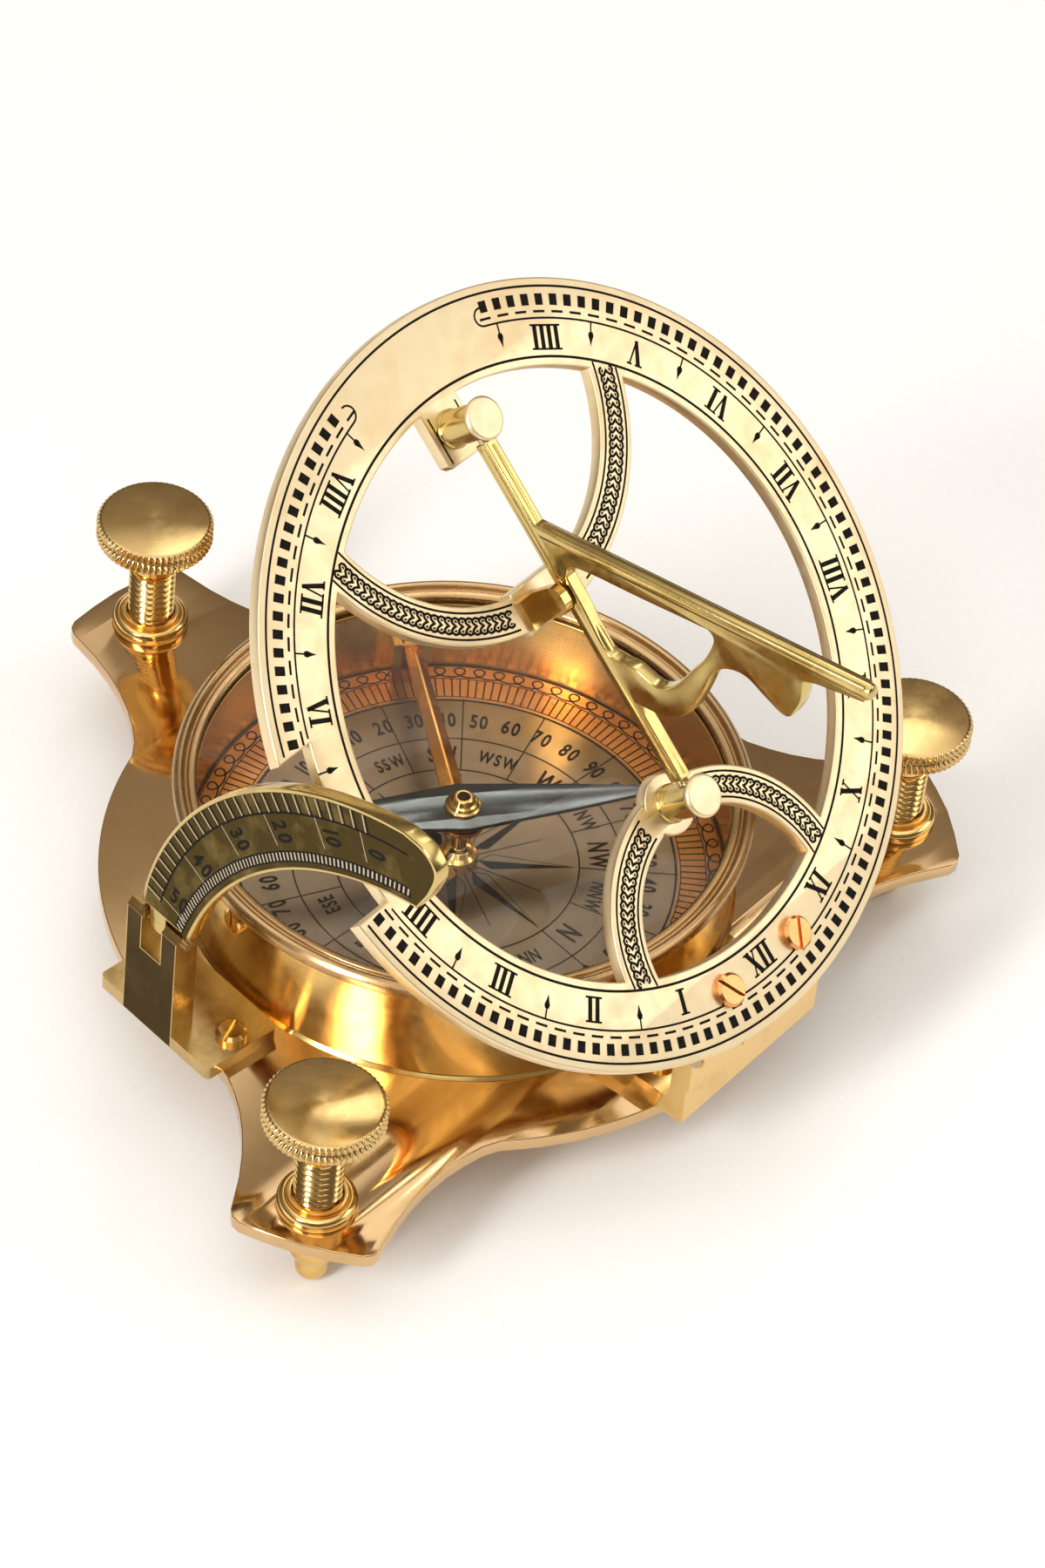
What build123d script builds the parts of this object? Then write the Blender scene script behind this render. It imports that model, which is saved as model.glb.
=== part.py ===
from build123d import *
import os
from math import cos, sin, asin, sqrt, radians

# Equinoctial (equatorial) sundial compass on a three-lobed levelling base. All sizes in millimetres.
# Frame: the origin is on the compass axis at the underside of the base plate, +Z is up,
# +X runs along the hinge of the hour ring and +Y is the noon line, away from that hinge.

# Base plate and levelling screws
PLATE_T = 2.0
PLATE_WAIST_R = 45.8
LOBE_END = 66.3
LOBE_HALF_W = 9.7
BASE_TURN = -6.5
LOBE_ANGLES = [BASE_TURN + 90.0 + 120.0 * k for k in range(3)]
LEVELLER_R = 59.25
STEM_R = 3.1
STEM_GAP = 0.1
HEAD_R = 7.7
HEAD_T = 3.4
HEAD_TOP = 20.5
FOOT_SPLIT = -3.2
FOOT_TIP = -11.5

# Compass drum
CASE_R = 35.6
CASE_BORE_R = 33.8
CASE_TOP = 16.4
CASE_FLOOR = 1.7
BEZEL_R = 37.0
BEZEL_TOP = 18.6
GLASS_R = 34.6
GLASS_T = 1.0
DIAL_R = 33.6
DIAL_T = 0.8
DIAL_TOP = PLATE_T + CASE_FLOOR + DIAL_T
PIVOT_TIP = 14.1
NEEDLE_Z = 13.1
NEEDLE_T = 0.6
NEEDLE_REACH = 27.8
NEEDLE_HALF_W = 4.0
NEEDLE_ANGLE = -38.4
LIFTER_Z = 10.9
LIFTER_T = 0.6
LIFTER_ANGLE = 52.0
LIFTER_AXIS_R = 31.4

# Hour ring and its hinge
RING_TILT = 44.0
HINGE_Y = -48.5
HINGE_Z = 14.5
RING_REACH = 47.0
RING_LIFT = 3.76
RING_T = 2.0
RING_R = 49.0
RING_BORE_R = 38.0
HINGE_PIN_R = 0.8
KNUCKLE_R = 1.45
KNUCKLE_HALF_SPAN = 13.5
KNUCKLE_PITCH = 5.4
KNUCKLE_GAP = 0.3
LEAF_T = 1.2
LEAF_SCREW_R = 42.5
LEAF_SCREW_ANGLE = 9.0
ARCH_W = 4.8

# Gnomon
POST_A_Y = 34.4
POST_B_Y = -19.0
POST_R = 2.5
GNOMON_AXIS_N = 4.4
GNOMON_T = 2.2
GNOMON_PIN_R = 0.8

# Latitude arc and its bracket
BRACKET_X = -47.4
BRACKET_Y = 10.6
BRACKET_TURN = -7.5
FLANGE_T = 2.0
LUG_TOP = 21.4
LUG_T = 3.5
ARC_T = 2.0
ARC_X = 1.8
ARC_PIN_Z = 19.6
ARC_PIN_R = 0.7
RUN = 0.05

ring_place = Pos(0, HINGE_Y, HINGE_Z) * Rot(RING_TILT, 0, 0) * Pos(0, RING_REACH, RING_LIFT)
bracket_place = Pos(BRACKET_X, BRACKET_Y, 0) * Rot(0, 0, BRACKET_TURN)


def rod(radius, z0, z1, x=0.0, y=0.0):
    """Upright round bar between two heights."""
    return Pos(x, y, z0) * Cylinder(radius, z1 - z0, align=(Align.CENTER, Align.CENTER, Align.MIN))


def block(x0, x1, y0, y1, z0, z1):
    """Rectangular block between two corners."""
    return Pos(x0, y0, z0) * Box(x1 - x0, y1 - y0, z1 - z0, align=(Align.MIN, Align.MIN, Align.MIN))


def rod_x(radius, x0, x1, y, z):
    """Round bar along X."""
    bar = Cylinder(radius, x1 - x0, align=(Align.CENTER, Align.CENTER, Align.MIN))
    return Pos(x0, y, z) * Rot(0, 90, 0) * bar


def rod_y(radius, y0, y1, x, z):
    """Round bar along Y."""
    bar = Cylinder(radius, y1 - y0, align=(Align.CENTER, Align.CENTER, Align.MIN))
    return Pos(x, y0, z) * Rot(-90, 0, 0) * bar


def turned(points):
    """Solid of revolution about Z from an (r, z) outline."""
    outline = Plane.XZ * make_face(Polyline(*points, close=True))
    return revolve(outline, Axis.Z)


def at_angle(radius, angle):
    return radius * cos(radians(angle)), radius * sin(radians(angle))


# ---------------------------------------------------------------- base plate
def lobe_point(along, across, angle):
    a = radians(angle)
    return along * cos(a) - across * sin(a), along * sin(a) + across * cos(a)


def make_base_plate():
    corner = 2.6
    waist_x, waist_y = 41.9, 18.5
    edges = []
    for k, angle in enumerate(LOBE_ANGLES):
        nxt = LOBE_ANGLES[(k + 1) % 3] + (360 if k == 2 else 0)
        mid = (angle + nxt) / 2
        left = [lobe_point(x, LOBE_HALF_W - d, angle) for x, d in ((62.5, 0), (LOBE_END - 0.7, corner))]
        right = [lobe_point(x, d - LOBE_HALF_W, angle) for x, d in ((LOBE_END - 0.7, corner), (62.5, 0))]
        flare_in = [lobe_point(x, -y, angle) for x, y in ((waist_x, waist_y), (51.0, 12.4))]
        flare_out = [lobe_point(x, y, angle) for x, y in ((51.0, 12.4), (waist_x, waist_y))]
        edges.append(ThreePointArc(flare_in[0], flare_in[1], right[1]))
        edges.append(ThreePointArc(right[1], lobe_point(64.7, 0.75 - LOBE_HALF_W, angle), right[0]))
        edges.append(ThreePointArc(right[0], lobe_point(LOBE_END, 0, angle), left[1]))
        edges.append(ThreePointArc(left[1], lobe_point(64.7, LOBE_HALF_W - 0.75, angle), left[0]))
        edges.append(ThreePointArc(left[0], flare_out[0], flare_out[1]))
        start = flare_out[1]
        end = lobe_point(waist_x, -waist_y, nxt)
        edges.append(ThreePointArc(start, at_angle(PLATE_WAIST_R, mid), end))
    plate = extrude(make_face(Curve() + edges), PLATE_T)
    for angle in LOBE_ANGLES:
        x, y = at_angle(LEVELLER_R, angle)
        plate -= rod(STEM_R + STEM_GAP, -1, PLATE_T + 1, x, y)
    return plate


# ---------------------------------------------------------------- levelling screws
def make_collars():
    r = STEM_R + STEM_GAP
    outline = [(r, 0), (5.0, 0), (5.0, 1.1), (4.6, 1.7), (4.1, 1.8), (3.9, 1.5), (3.8, 2.3), (r, 2.3)]
    collar = turned(outline)
    spots = [Pos(*at_angle(LEVELLER_R, angle), PLATE_T) for angle in LOBE_ANGLES]
    return Compound(children=[spot * collar for spot in spots])


def make_levelling_screw():
    z0 = HEAD_TOP - HEAD_T
    mid = HEAD_TOP - HEAD_T / 2
    outline = [(0, FOOT_SPLIT - 2.2), (1.5, FOOT_SPLIT - 2.2), (1.5, FOOT_SPLIT), (STEM_R, FOOT_SPLIT)]
    outline += [(STEM_R, z0 - 0.9), (4.4, z0), (HEAD_R - 0.4, z0), (HEAD_R, z0 + 0.4)]
    outline += [(HEAD_R, mid - 0.3), (HEAD_R - 0.6, mid), (HEAD_R, mid + 0.3)]
    outline += [(HEAD_R, HEAD_TOP - 0.4), (HEAD_R - 0.4, HEAD_TOP), (0, HEAD_TOP)]
    return turned(outline)


def make_foot():
    socket_r = 1.5 + RUN
    top = FOOT_SPLIT - 0.1
    outline = [(0, top - 2.5), (socket_r, top - 2.5), (socket_r, top), (STEM_R, top)]
    outline += [(STEM_R, top - 3.0), (2.7, top - 4.0), (1.4, top - 5.0), (0, top - 5.0)]
    ball_r = 2.1
    return turned(outline) + Pos(0, 0, FOOT_TIP + ball_r) * Sphere(ball_r)


# ---------------------------------------------------------------- compass drum
def make_case():
    shell = rod(CASE_R, PLATE_T, CASE_TOP) - rod(CASE_BORE_R, PLATE_T + CASE_FLOOR, CASE_TOP + 1)
    foot_ring = turned([(CASE_R, PLATE_T), (CASE_R + 0.5, PLATE_T), (CASE_R, PLATE_T + 0.5)])
    return shell + foot_ring


def make_bezel():
    z0 = CASE_TOP
    top = BEZEL_TOP
    outline = [(GLASS_R, z0), (BEZEL_R - 0.5, z0), (BEZEL_R, z0 + 0.5), (BEZEL_R, top - 0.6)]
    outline += [(BEZEL_R - 0.5, top - 0.1), (BEZEL_R - 0.9, top), (35.7, top - 0.15), (35.5, top - 0.8)]
    outline += [(35.1, top - 0.8), (35.0, top - 0.35), (34.2, top - 0.45), (33.9, top - 0.7)]
    outline += [(33.9, z0 + GLASS_T), (GLASS_R, z0 + GLASS_T)]
    return turned(outline)


def make_needle_pivot():
    z0 = DIAL_TOP
    outline = [(0, z0), (2.6, z0), (2.6, z0 + 1.2), (2.0, z0 + 1.9), (1.2, z0 + 2.3)]
    outline += [(0.9, LIFTER_Z + 1.2), (0.1, PIVOT_TIP), (0, PIVOT_TIP)]
    return turned(outline)


def make_needle():
    tips = [(NEEDLE_REACH, 0), (0, NEEDLE_HALF_W), (-NEEDLE_REACH, 0), (0, -NEEDLE_HALF_W)]
    blade = extrude(make_face(Polyline(*tips, close=True)), NEEDLE_T)
    blade -= rod(1.9, -1, 2)
    return Pos(0, 0, NEEDLE_Z) * Rot(0, 0, NEEDLE_ANGLE) * blade


def make_needle_cap():
    z0 = NEEDLE_Z
    outline = [(1.15, z0 - 0.6), (1.9, z0 - 0.6), (1.9, z0 + NEEDLE_T), (2.3, z0 + NEEDLE_T)]
    outline += [(2.3, z0 + 1.0), (1.9, z0 + 1.4), (1.3, z0 + 2.3), (0, z0 + 2.5), (0, z0 + 1.2)]
    outline += [(0.5, z0 + 0.9)]
    return turned(outline)


def make_lifter():
    inner = 1.9
    z1 = LIFTER_Z + LIFTER_T
    eye = rod(3.0, LIFTER_Z, z1) - rod(inner, LIFTER_Z - 1, z1 + 1)
    corners = [(2.3, -1.5), (31.0, -1.0), (31.0, 1.0), (2.3, 1.5)]
    bar = Pos(0, 0, LIFTER_Z) * extrude(make_face(Polyline(*corners, close=True)), LIFTER_T)
    barrel = rod_y(0.9, -1.0, 1.0, LIFTER_AXIS_R, LIFTER_Z + 0.3)
    arm = eye + bar + barrel
    arm -= rod_y(0.4 + RUN, -2, 2, LIFTER_AXIS_R, LIFTER_Z + 0.3)
    return Rot(0, 0, LIFTER_ANGLE) * arm


def make_lifter_mount():
    z0 = DIAL_TOP
    z = LIFTER_Z + 0.3
    block_all = block(30.6, CASE_BORE_R, -2.4, 2.4, z0, z + 1.0)
    slot = block(29, 32.8, -1.3, 1.3, z0 + 3.0, z + 2)
    mount = (block_all & rod(CASE_BORE_R, z0, z + 2)) - slot
    mount += rod_y(0.4, -1.6, 1.6, LIFTER_AXIS_R, z)
    return Rot(0, 0, LIFTER_ANGLE) * mount


def make_case_screw():
    head = Pos(0, 0, 0) * Cylinder(1.7, 0.8, align=(Align.CENTER, Align.CENTER, Align.MIN))
    head = chamfer(head.edges().sort_by(Axis.Z)[-1], 0.25)
    head -= block(-2, 2, -0.2, 0.2, 0.45, 1.0)
    return Rot(0, 0, 167.7) * Pos(CASE_R, 0, 13.9) * Rot(0, 90, 0) * head


# ---------------------------------------------------------------- hinge of the hour ring
def knuckle_ranges(own):
    """X ranges of the two ring knuckles (own=1) or the three bracket knuckles (own=0)."""
    ranges = []
    for k in range(5):
        if k % 2 == own:
            lo = -KNUCKLE_HALF_SPAN + k * KNUCKLE_PITCH
            hi = lo + KNUCKLE_PITCH
            lo += KNUCKLE_GAP / 2 if k > 0 else 0
            hi -= KNUCKLE_GAP / 2 if k < 4 else 0
            ranges.append((lo, hi))
    return ranges


def make_hinge_bracket():
    outer = HINGE_Y + 0.6
    inner = outer + 2.4
    drum_side = block(-13.5, 13.5, outer, -30, PLATE_T, PLATE_T + 3.0) - rod(CASE_R + 0.6, 0, 10)
    wall = block(-13.5, 13.5, outer, inner, PLATE_T, HINGE_Z - KNUCKLE_R - 0.5)
    body = drum_side + wall
    for lo, hi in knuckle_ranges(0):
        body += block(lo, hi, HINGE_Y + 0.2, inner, PLATE_T + 6, HINGE_Z)
        body += rod_x(KNUCKLE_R, lo, hi, HINGE_Y, HINGE_Z)
    body -= rod_x(HINGE_PIN_R, -20, 20, HINGE_Y, HINGE_Z)
    return body


def make_bracket_screws(spots, z, radius):
    screws = []
    for x, y in spots:
        head = rod(radius, z, z + 1.1, x, y)
        head = chamfer(head.edges().sort_by(Axis.Z)[-1], 0.45)
        head -= Pos(x, y, 0) * Rot(0, 0, 25) * block(-5, 5, -0.25, 0.25, z + 0.6, z + 2)
        screws.append(head)
    return Compound(children=screws)


def make_hinge_pin():
    half = KNUCKLE_HALF_SPAN + 0.5
    pin = rod_x(HINGE_PIN_R, -half, half, HINGE_Y, HINGE_Z)
    for x0, x1 in ((-half, -KNUCKLE_HALF_SPAN), (KNUCKLE_HALF_SPAN, half)):
        pin += rod_x(HINGE_PIN_R + 0.3, x0, x1, HINGE_Y, HINGE_Z)
    return pin


def make_ring_leaf():
    """Leaf under the ring, in the ring's own frame (face of the ring at z = 0)."""
    axis_z = -RING_LIFT
    axis_y = -RING_REACH
    leaf = block(-13.5, 13.5, axis_y + KNUCKLE_R + 0.4, -39.2, -RING_T - LEAF_T, -RING_T)
    leaf &= rod(RING_R, -10, 5)
    for lo, hi in knuckle_ranges(1):
        leaf += block(lo, hi, axis_y, axis_y + 3, axis_z + 0.4, -RING_T)
        leaf += rod_x(KNUCKLE_R, lo, hi, axis_y, axis_z)
    leaf -= rod_x(HINGE_PIN_R + RUN, -20, 20, axis_y, axis_z)
    for side in (-1, 1):
        x, y = at_angle(LEAF_SCREW_R, -90 + side * LEAF_SCREW_ANGLE)
        leaf -= rod(0.9, -10, 5, x, y)
    return ring_place * leaf


# ---------------------------------------------------------------- hour ring
def arch(centre_y, radius):
    """Curved strip across the ring, clipped to the ring's bore."""
    strip = rod(radius + ARCH_W / 2, -RING_T, 0, 0, centre_y)
    strip -= rod(radius - ARCH_W / 2, -RING_T - 1, 1, 0, centre_y)
    return strip & rod(RING_BORE_R + 1.0, -RING_T, 0)


def make_hour_ring():
    ring = rod(RING_R, -RING_T, 0) - rod(RING_BORE_R, -RING_T - 1, 1)
    notch = rod(RING_R + 2, -RING_T - 1, 1) - rod(43.8, -RING_T - 2, 2)
    ring -= notch & block(-RING_R - 2, -40, -6.3, 14.6, -RING_T - 1, 1)
    ring += arch(36.8, 26.2)
    ring += arch(-36.2, 17.2)
    tab = block(-3.3, 3.3, 31.0, RING_BORE_R + 0.5, -RING_T, 0)
    tab += rod(3.3, -RING_T, 0, 0, 33.6)
    ring += tab
    ring += block(-5.2, 4.2, 8.2, 13.6, -RING_T, 0)
    ring += rod(3.9, -RING_T, 0, 0, POST_B_Y)
    for y in (POST_A_Y, POST_B_Y):
        ring -= rod(1.6, -RING_T - 1, 1, 0, y)
    for side in (-1, 1):
        x, y = at_angle(LEAF_SCREW_R, -90 + side * LEAF_SCREW_ANGLE)
        ring -= rod(0.9, -10, 5, x, y)
    return ring_place * ring


def make_leaf_screws():
    screws = []
    for side in (-1, 1):
        x, y = at_angle(LEAF_SCREW_R, -90 + side * LEAF_SCREW_ANGLE)
        head = rod(2.15, 0, 1.0)
        head = chamfer(head.edges().sort_by(Axis.Z)[-1], 0.35)
        head -= Rot(0, 0, 60 * side) * block(-5, 5, -0.25, 0.25, 0.5, 2)
        screws.append(ring_place * Pos(x, y, 0) * (head + rod(0.9, -RING_T - LEAF_T, 0)))
    return Compound(children=screws)


def make_posts():
    posts = []
    for y, pin_side in ((POST_A_Y, -1), (POST_B_Y, 1)):
        outline = [(0, -RING_T), (1.6, -RING_T), (1.6, 0), (POST_R, 0), (POST_R, 5.9), (POST_R + 0.25, 6.1)]
        outline += [(POST_R + 0.25, 6.5), (POST_R - 0.4, 6.9), (0, 6.9)]
        post = Pos(0, y, 0) * turned(outline)
        hole_from, hole_to = sorted((y, y + pin_side * 5))
        post -= rod_y(GNOMON_PIN_R + RUN, hole_from, hole_to, 0, GNOMON_AXIS_N)
        posts.append(ring_place * post)
    return Compound(children=posts)


def make_gnomon_stop():
    """Upright ear that the erect gnomon leans against, on a foot riveted to the upper arch."""
    ear = block(-2.6, -1.4, 8.7, 12.6, 0, 5.3)
    ear = fillet(ear.edges().filter_by(Axis.X).group_by(Axis.Z)[-1], 1.6)
    foot = block(-5.0, -1.4, 8.7, 12.6, 0, 0.8)
    return ring_place * (ear + foot)


# ---------------------------------------------------------------- gnomon
def make_gnomon_blade():
    """Pierced upright gnomon, drawn in the noon plane: x along the noon line, y off the ring face."""
    bar_y0, bar_y1 = POST_B_Y + POST_R + 0.3, POST_A_Y - POST_R - 0.3
    bar_low = GNOMON_AXIS_N - GNOMON_T / 2
    web = Spline((18.8, 5.2), (12.6, 11.6), (2.6, 24.2), (-6.5, 35.6))
    tip = Polyline((-6.5, 35.6), (-12.7, 43.4), (-12.6, 45.6), (-11.0, 45.2), (19.6, 6.2), (20.4, 5.0))
    rod_face = make_face(Curve() + [web, tip, Line((20.4, 5.0), (18.8, 5.2))])
    scroll = Spline((-5.2, 4.6), (-7.6, 9.0), (-8.1, 13.2), (-6.4, 17.2), (-4.2, 21.2), (-3.9, 23.8), (-5.4, 26.3),
                    (-8.5, 27.6), (-11.0, 28.7), (-11.7, 29.9))
    beak = Spline((-11.7, 29.9), (-10.9, 32.0), (-9.9, 33.6), (-8.0, 35.4))
    inner = Line((-8.0, 35.4), (-6.5, 36.8))
    back = Polyline((-6.5, 36.8), (13.6, 11.4), (16.5, 4.6), (-5.2, 4.6))
    web_face = make_face(Curve() + [scroll, beak, inner, back])
    window = Spline((12.6, 5.9), (8.4, 5.7), (2.8, 5.3), (0.9, 6.3), (-0.7, 8.5), (-3.7, 10.5), (-4.1, 13.6),
                    (-2.7, 18.5), (-1.8, 21.5), (-0.2, 24.3), (1.2, 24.6), (2.4, 23.2), (7.8, 16.0),
                    (12.2, 10.3), (13.6, 7.6), periodic=True)
    blade_face = (rod_face + web_face) - make_face(window)
    upright = extrude(Plane.YZ * blade_face, GNOMON_T / 2, both=True)
    bar = block(-GNOMON_T / 2, GNOMON_T / 2, bar_y0, bar_y1, GNOMON_AXIS_N, 5.5)
    bar += rod_y(GNOMON_T / 2, bar_y0, bar_y1, 0, GNOMON_AXIS_N)
    blade = upright + bar
    blade -= block(-5, 5, -30, 40, -5, bar_low)
    for y0, y1 in ((bar_y0 - 1, bar_y0 + 3), (bar_y1 - 3, bar_y1 + 1)):
        blade -= rod_y(GNOMON_PIN_R, y0, y1, 0, GNOMON_AXIS_N)
    return ring_place * blade


def make_gnomon_pins():
    bar_y0, bar_y1 = POST_B_Y + POST_R + 0.3, POST_A_Y - POST_R - 0.3
    pins = [rod_y(GNOMON_PIN_R, bar_y0 - 1.9, bar_y0 + 3, 0, GNOMON_AXIS_N)]
    pins.append(rod_y(GNOMON_PIN_R, bar_y1 - 3, bar_y1 + 1.9, 0, GNOMON_AXIS_N))
    return Compound(children=[ring_place * pin for pin in pins])


# ---------------------------------------------------------------- latitude bracket and arc
def make_latitude_bracket():
    """Angle bracket with an upright forked lug; local x points inward and local y runs along the arc."""
    z0 = PLATE_T
    flange = block(0, 11.6, -11.6, 9.0, z0, z0 + FLANGE_T)
    flange = fillet(flange.edges().filter_by(Axis.Z), 0.8)
    lug = block(0, LUG_T, -4.6, 4.6, z0, LUG_TOP)
    top_edges = lug.edges().filter_by(Axis.Y).group_by(Axis.Z)[-1]
    lug = chamfer(top_edges, 0.8)
    slot = block(-1, LUG_T + 1, -1.8, 1.8, 15.0, LUG_TOP + 1)
    body = flange + lug - slot
    body -= rod_y(ARC_PIN_R, -10, 10, ARC_X, ARC_PIN_Z)
    return bracket_place * body


def make_arc_pin():
    pin = rod_y(ARC_PIN_R, -5.1, 5.1, ARC_X, ARC_PIN_Z)
    return bracket_place * pin


def circle_z(centre, radius, y):
    """Height of the upper half of a circle above a point."""
    return centre[1] + sqrt(radius * radius - (y - centre[0]) ** 2)


def make_latitude_arc():
    """Curved scale plate, drawn in its own plane: x along the plate (local y), y upward."""
    outer_c, outer_r = (-54.0, 13.2), 57.8
    inner_c, inner_r = (-57.0, 7.9), 53.1
    root_low = ARC_PIN_Z + 2.5
    foot = (2.6, circle_z(outer_c, outer_r, 2.6))
    crest = (-40.2, circle_z(outer_c, outer_r, -40.2))
    end = (-43.4, circle_z(inner_c, inner_r, -43.4))
    heel = (-5.8, circle_z(inner_c, inner_r, -5.8))
    outer = ThreePointArc(foot, (-12.0, circle_z(outer_c, outer_r, -12.0)), crest)
    nose = Spline(crest, (-43.9, 69.1), (-46.1, 66.8), (-45.4, 63.2), end)
    inner = ThreePointArc(end, (-17.0, circle_z(inner_c, inner_r, -17.0)), heel)
    base = Polyline(heel, (-4.6, root_low), (3.0, root_low), foot)
    plate = extrude(Plane.YZ * make_face(Curve() + [outer, nose, inner, base]), ARC_T / 2, both=True)
    tongue = block(-ARC_T / 2, ARC_T / 2, -1.5, 1.5, ARC_PIN_Z, root_low + 0.2)
    tongue += rod_y(ARC_T / 2, -1.5, 1.5, 0, ARC_PIN_Z)
    plate = Pos(ARC_X, 0, 0) * (plate + tongue)
    plate -= rod_y(ARC_PIN_R + RUN, -10, 10, ARC_X, ARC_PIN_Z)
    return bracket_place * plate


# ---------------------------------------------------------------- all pieces
parts = {
    "base_plate": make_base_plate(),
    "levelling_collars": make_collars(),
    "compass_case": make_case(),
    "case_bezel": make_bezel(),
    "compass_glass": rod(GLASS_R, CASE_TOP, CASE_TOP + GLASS_T),
    "dial_plate": rod(DIAL_R, DIAL_TOP - DIAL_T, DIAL_TOP),
    "needle_pivot": make_needle_pivot(),
    "compass_needle": make_needle(),
    "needle_cap": make_needle_cap(),
    "needle_lifter": make_lifter(),
    "lifter_mount": make_lifter_mount(),
    "case_screw": make_case_screw(),
    "hinge_bracket": make_hinge_bracket(),
    "hinge_bracket_screws": make_bracket_screws([(-9.5, -41.2), (9.5, -41.2)], PLATE_T + 3.0, 1.8),
    "hinge_pin": make_hinge_pin(),
    "hour_ring": make_hour_ring(),
    "ring_hinge_leaf": make_ring_leaf(),
    "ring_leaf_screws": make_leaf_screws(),
    "gnomon_posts": make_posts(),
    "gnomon_stop": make_gnomon_stop(),
    "gnomon_blade": make_gnomon_blade(),
    "gnomon_pins": make_gnomon_pins(),
    "latitude_bracket": make_latitude_bracket(),
    "latitude_bracket_screws": bracket_place * make_bracket_screws([(6.1, -8.9), (6.1, 6.4)], PLATE_T + FLANGE_T, 2.0),
    "arc_pin": make_arc_pin(),
    "latitude_arc": make_latitude_arc(),
}
for k, angle in enumerate(LOBE_ANGLES):
    spot = Pos(*at_angle(LEVELLER_R, angle), 0)
    parts["levelling_screw_%d" % (k + 1)] = spot * make_levelling_screw()
    parts["levelling_foot_%d" % (k + 1)] = spot * make_foot()

os.makedirs("parts", exist_ok=True)
for name, solid in parts.items():
    export_step(solid, "parts/" + name + ".step")
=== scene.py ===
import math
import bpy
import bmesh
from mathutils import Matrix, Vector


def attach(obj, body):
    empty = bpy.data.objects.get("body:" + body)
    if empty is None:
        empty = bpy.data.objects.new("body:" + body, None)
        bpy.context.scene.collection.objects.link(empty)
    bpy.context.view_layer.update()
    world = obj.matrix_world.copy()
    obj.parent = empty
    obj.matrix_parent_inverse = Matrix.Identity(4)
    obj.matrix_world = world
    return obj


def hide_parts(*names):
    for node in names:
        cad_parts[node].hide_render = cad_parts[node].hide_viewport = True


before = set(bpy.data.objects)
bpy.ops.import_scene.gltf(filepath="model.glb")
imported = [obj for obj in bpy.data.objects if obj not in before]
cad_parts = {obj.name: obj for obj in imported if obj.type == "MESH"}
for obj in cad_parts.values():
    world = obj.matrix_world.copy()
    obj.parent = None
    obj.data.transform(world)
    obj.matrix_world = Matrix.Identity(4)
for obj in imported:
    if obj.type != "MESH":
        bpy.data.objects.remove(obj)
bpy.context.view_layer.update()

MM = 0.001


# ================ places (millimetres)
def place(x=0.0, y=0.0, z=0.0, turn=0.0):
    return Matrix.Translation((x, y, z)) @ Matrix.Rotation(math.radians(turn), 4, "Z")


# RING is the ring's own frame: its origin is the centre of the ring's face, which lies on z = 0.
TILT = math.radians(44.0)
HINGE = Matrix.Translation((0, -48.5, 14.5))
RING_FROM_HINGE = Matrix.Translation((0, 47.0, 3.76))
RING = HINGE @ Matrix.Rotation(TILT, 4, "X") @ RING_FROM_HINGE
BASE_TURN = -6.5
BRACKET = place(-47.4, 10.6, 0, -7.5)
LOBES = [BASE_TURN + 90 + 120 * k for k in range(3)]
LEVELLER_R = 59.25
DIAL_TOP = 4.5


def polar(r, angle, cx=0.0, cy=0.0):
    a = math.radians(angle)
    return (cx + r * math.cos(a), cy + r * math.sin(a))


# ================ materials
def link(tree, a, b):
    tree.links.new(a, b)


def new_material(name):
    mat = bpy.data.materials.new(name)
    mat.use_nodes = True
    tree = mat.node_tree
    return mat, tree, tree.nodes["Principled BSDF"], tree.nodes.new("ShaderNodeTexCoord")


def noise(tree, vector, scale, detail=3.0, rough=0.55):
    n = tree.nodes.new("ShaderNodeTexNoise")
    n.inputs["Scale"].default_value = scale
    n.inputs["Detail"].default_value = detail
    n.inputs["Roughness"].default_value = rough
    link(tree, vector, n.inputs["Vector"])
    return n.outputs["Fac"]


def spread(tree, value, lo, hi, out_lo, out_hi):
    n = tree.nodes.new("ShaderNodeMapRange")
    for key, number in (("From Min", lo), ("From Max", hi), ("To Min", out_lo), ("To Max", out_hi)):
        n.inputs[key].default_value = number
    link(tree, value, n.inputs["Value"])
    return n.outputs["Result"]


def mix_colour(tree, factor, a, b):
    n = tree.nodes.new("ShaderNodeMix")
    n.data_type = "RGBA"
    for socket, value in ((n.inputs[6], a), (n.inputs[7], b)):
        if isinstance(value, tuple):
            socket.default_value = (*value, 1.0)
        else:
            link(tree, value, socket)
    link(tree, factor, n.inputs[0])
    return n.outputs[2]


def stretched(tree, coords, scale):
    n = tree.nodes.new("ShaderNodeMapping")
    n.inputs["Scale"].default_value = scale
    link(tree, coords, n.inputs["Vector"])
    return n.outputs["Vector"]


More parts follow.
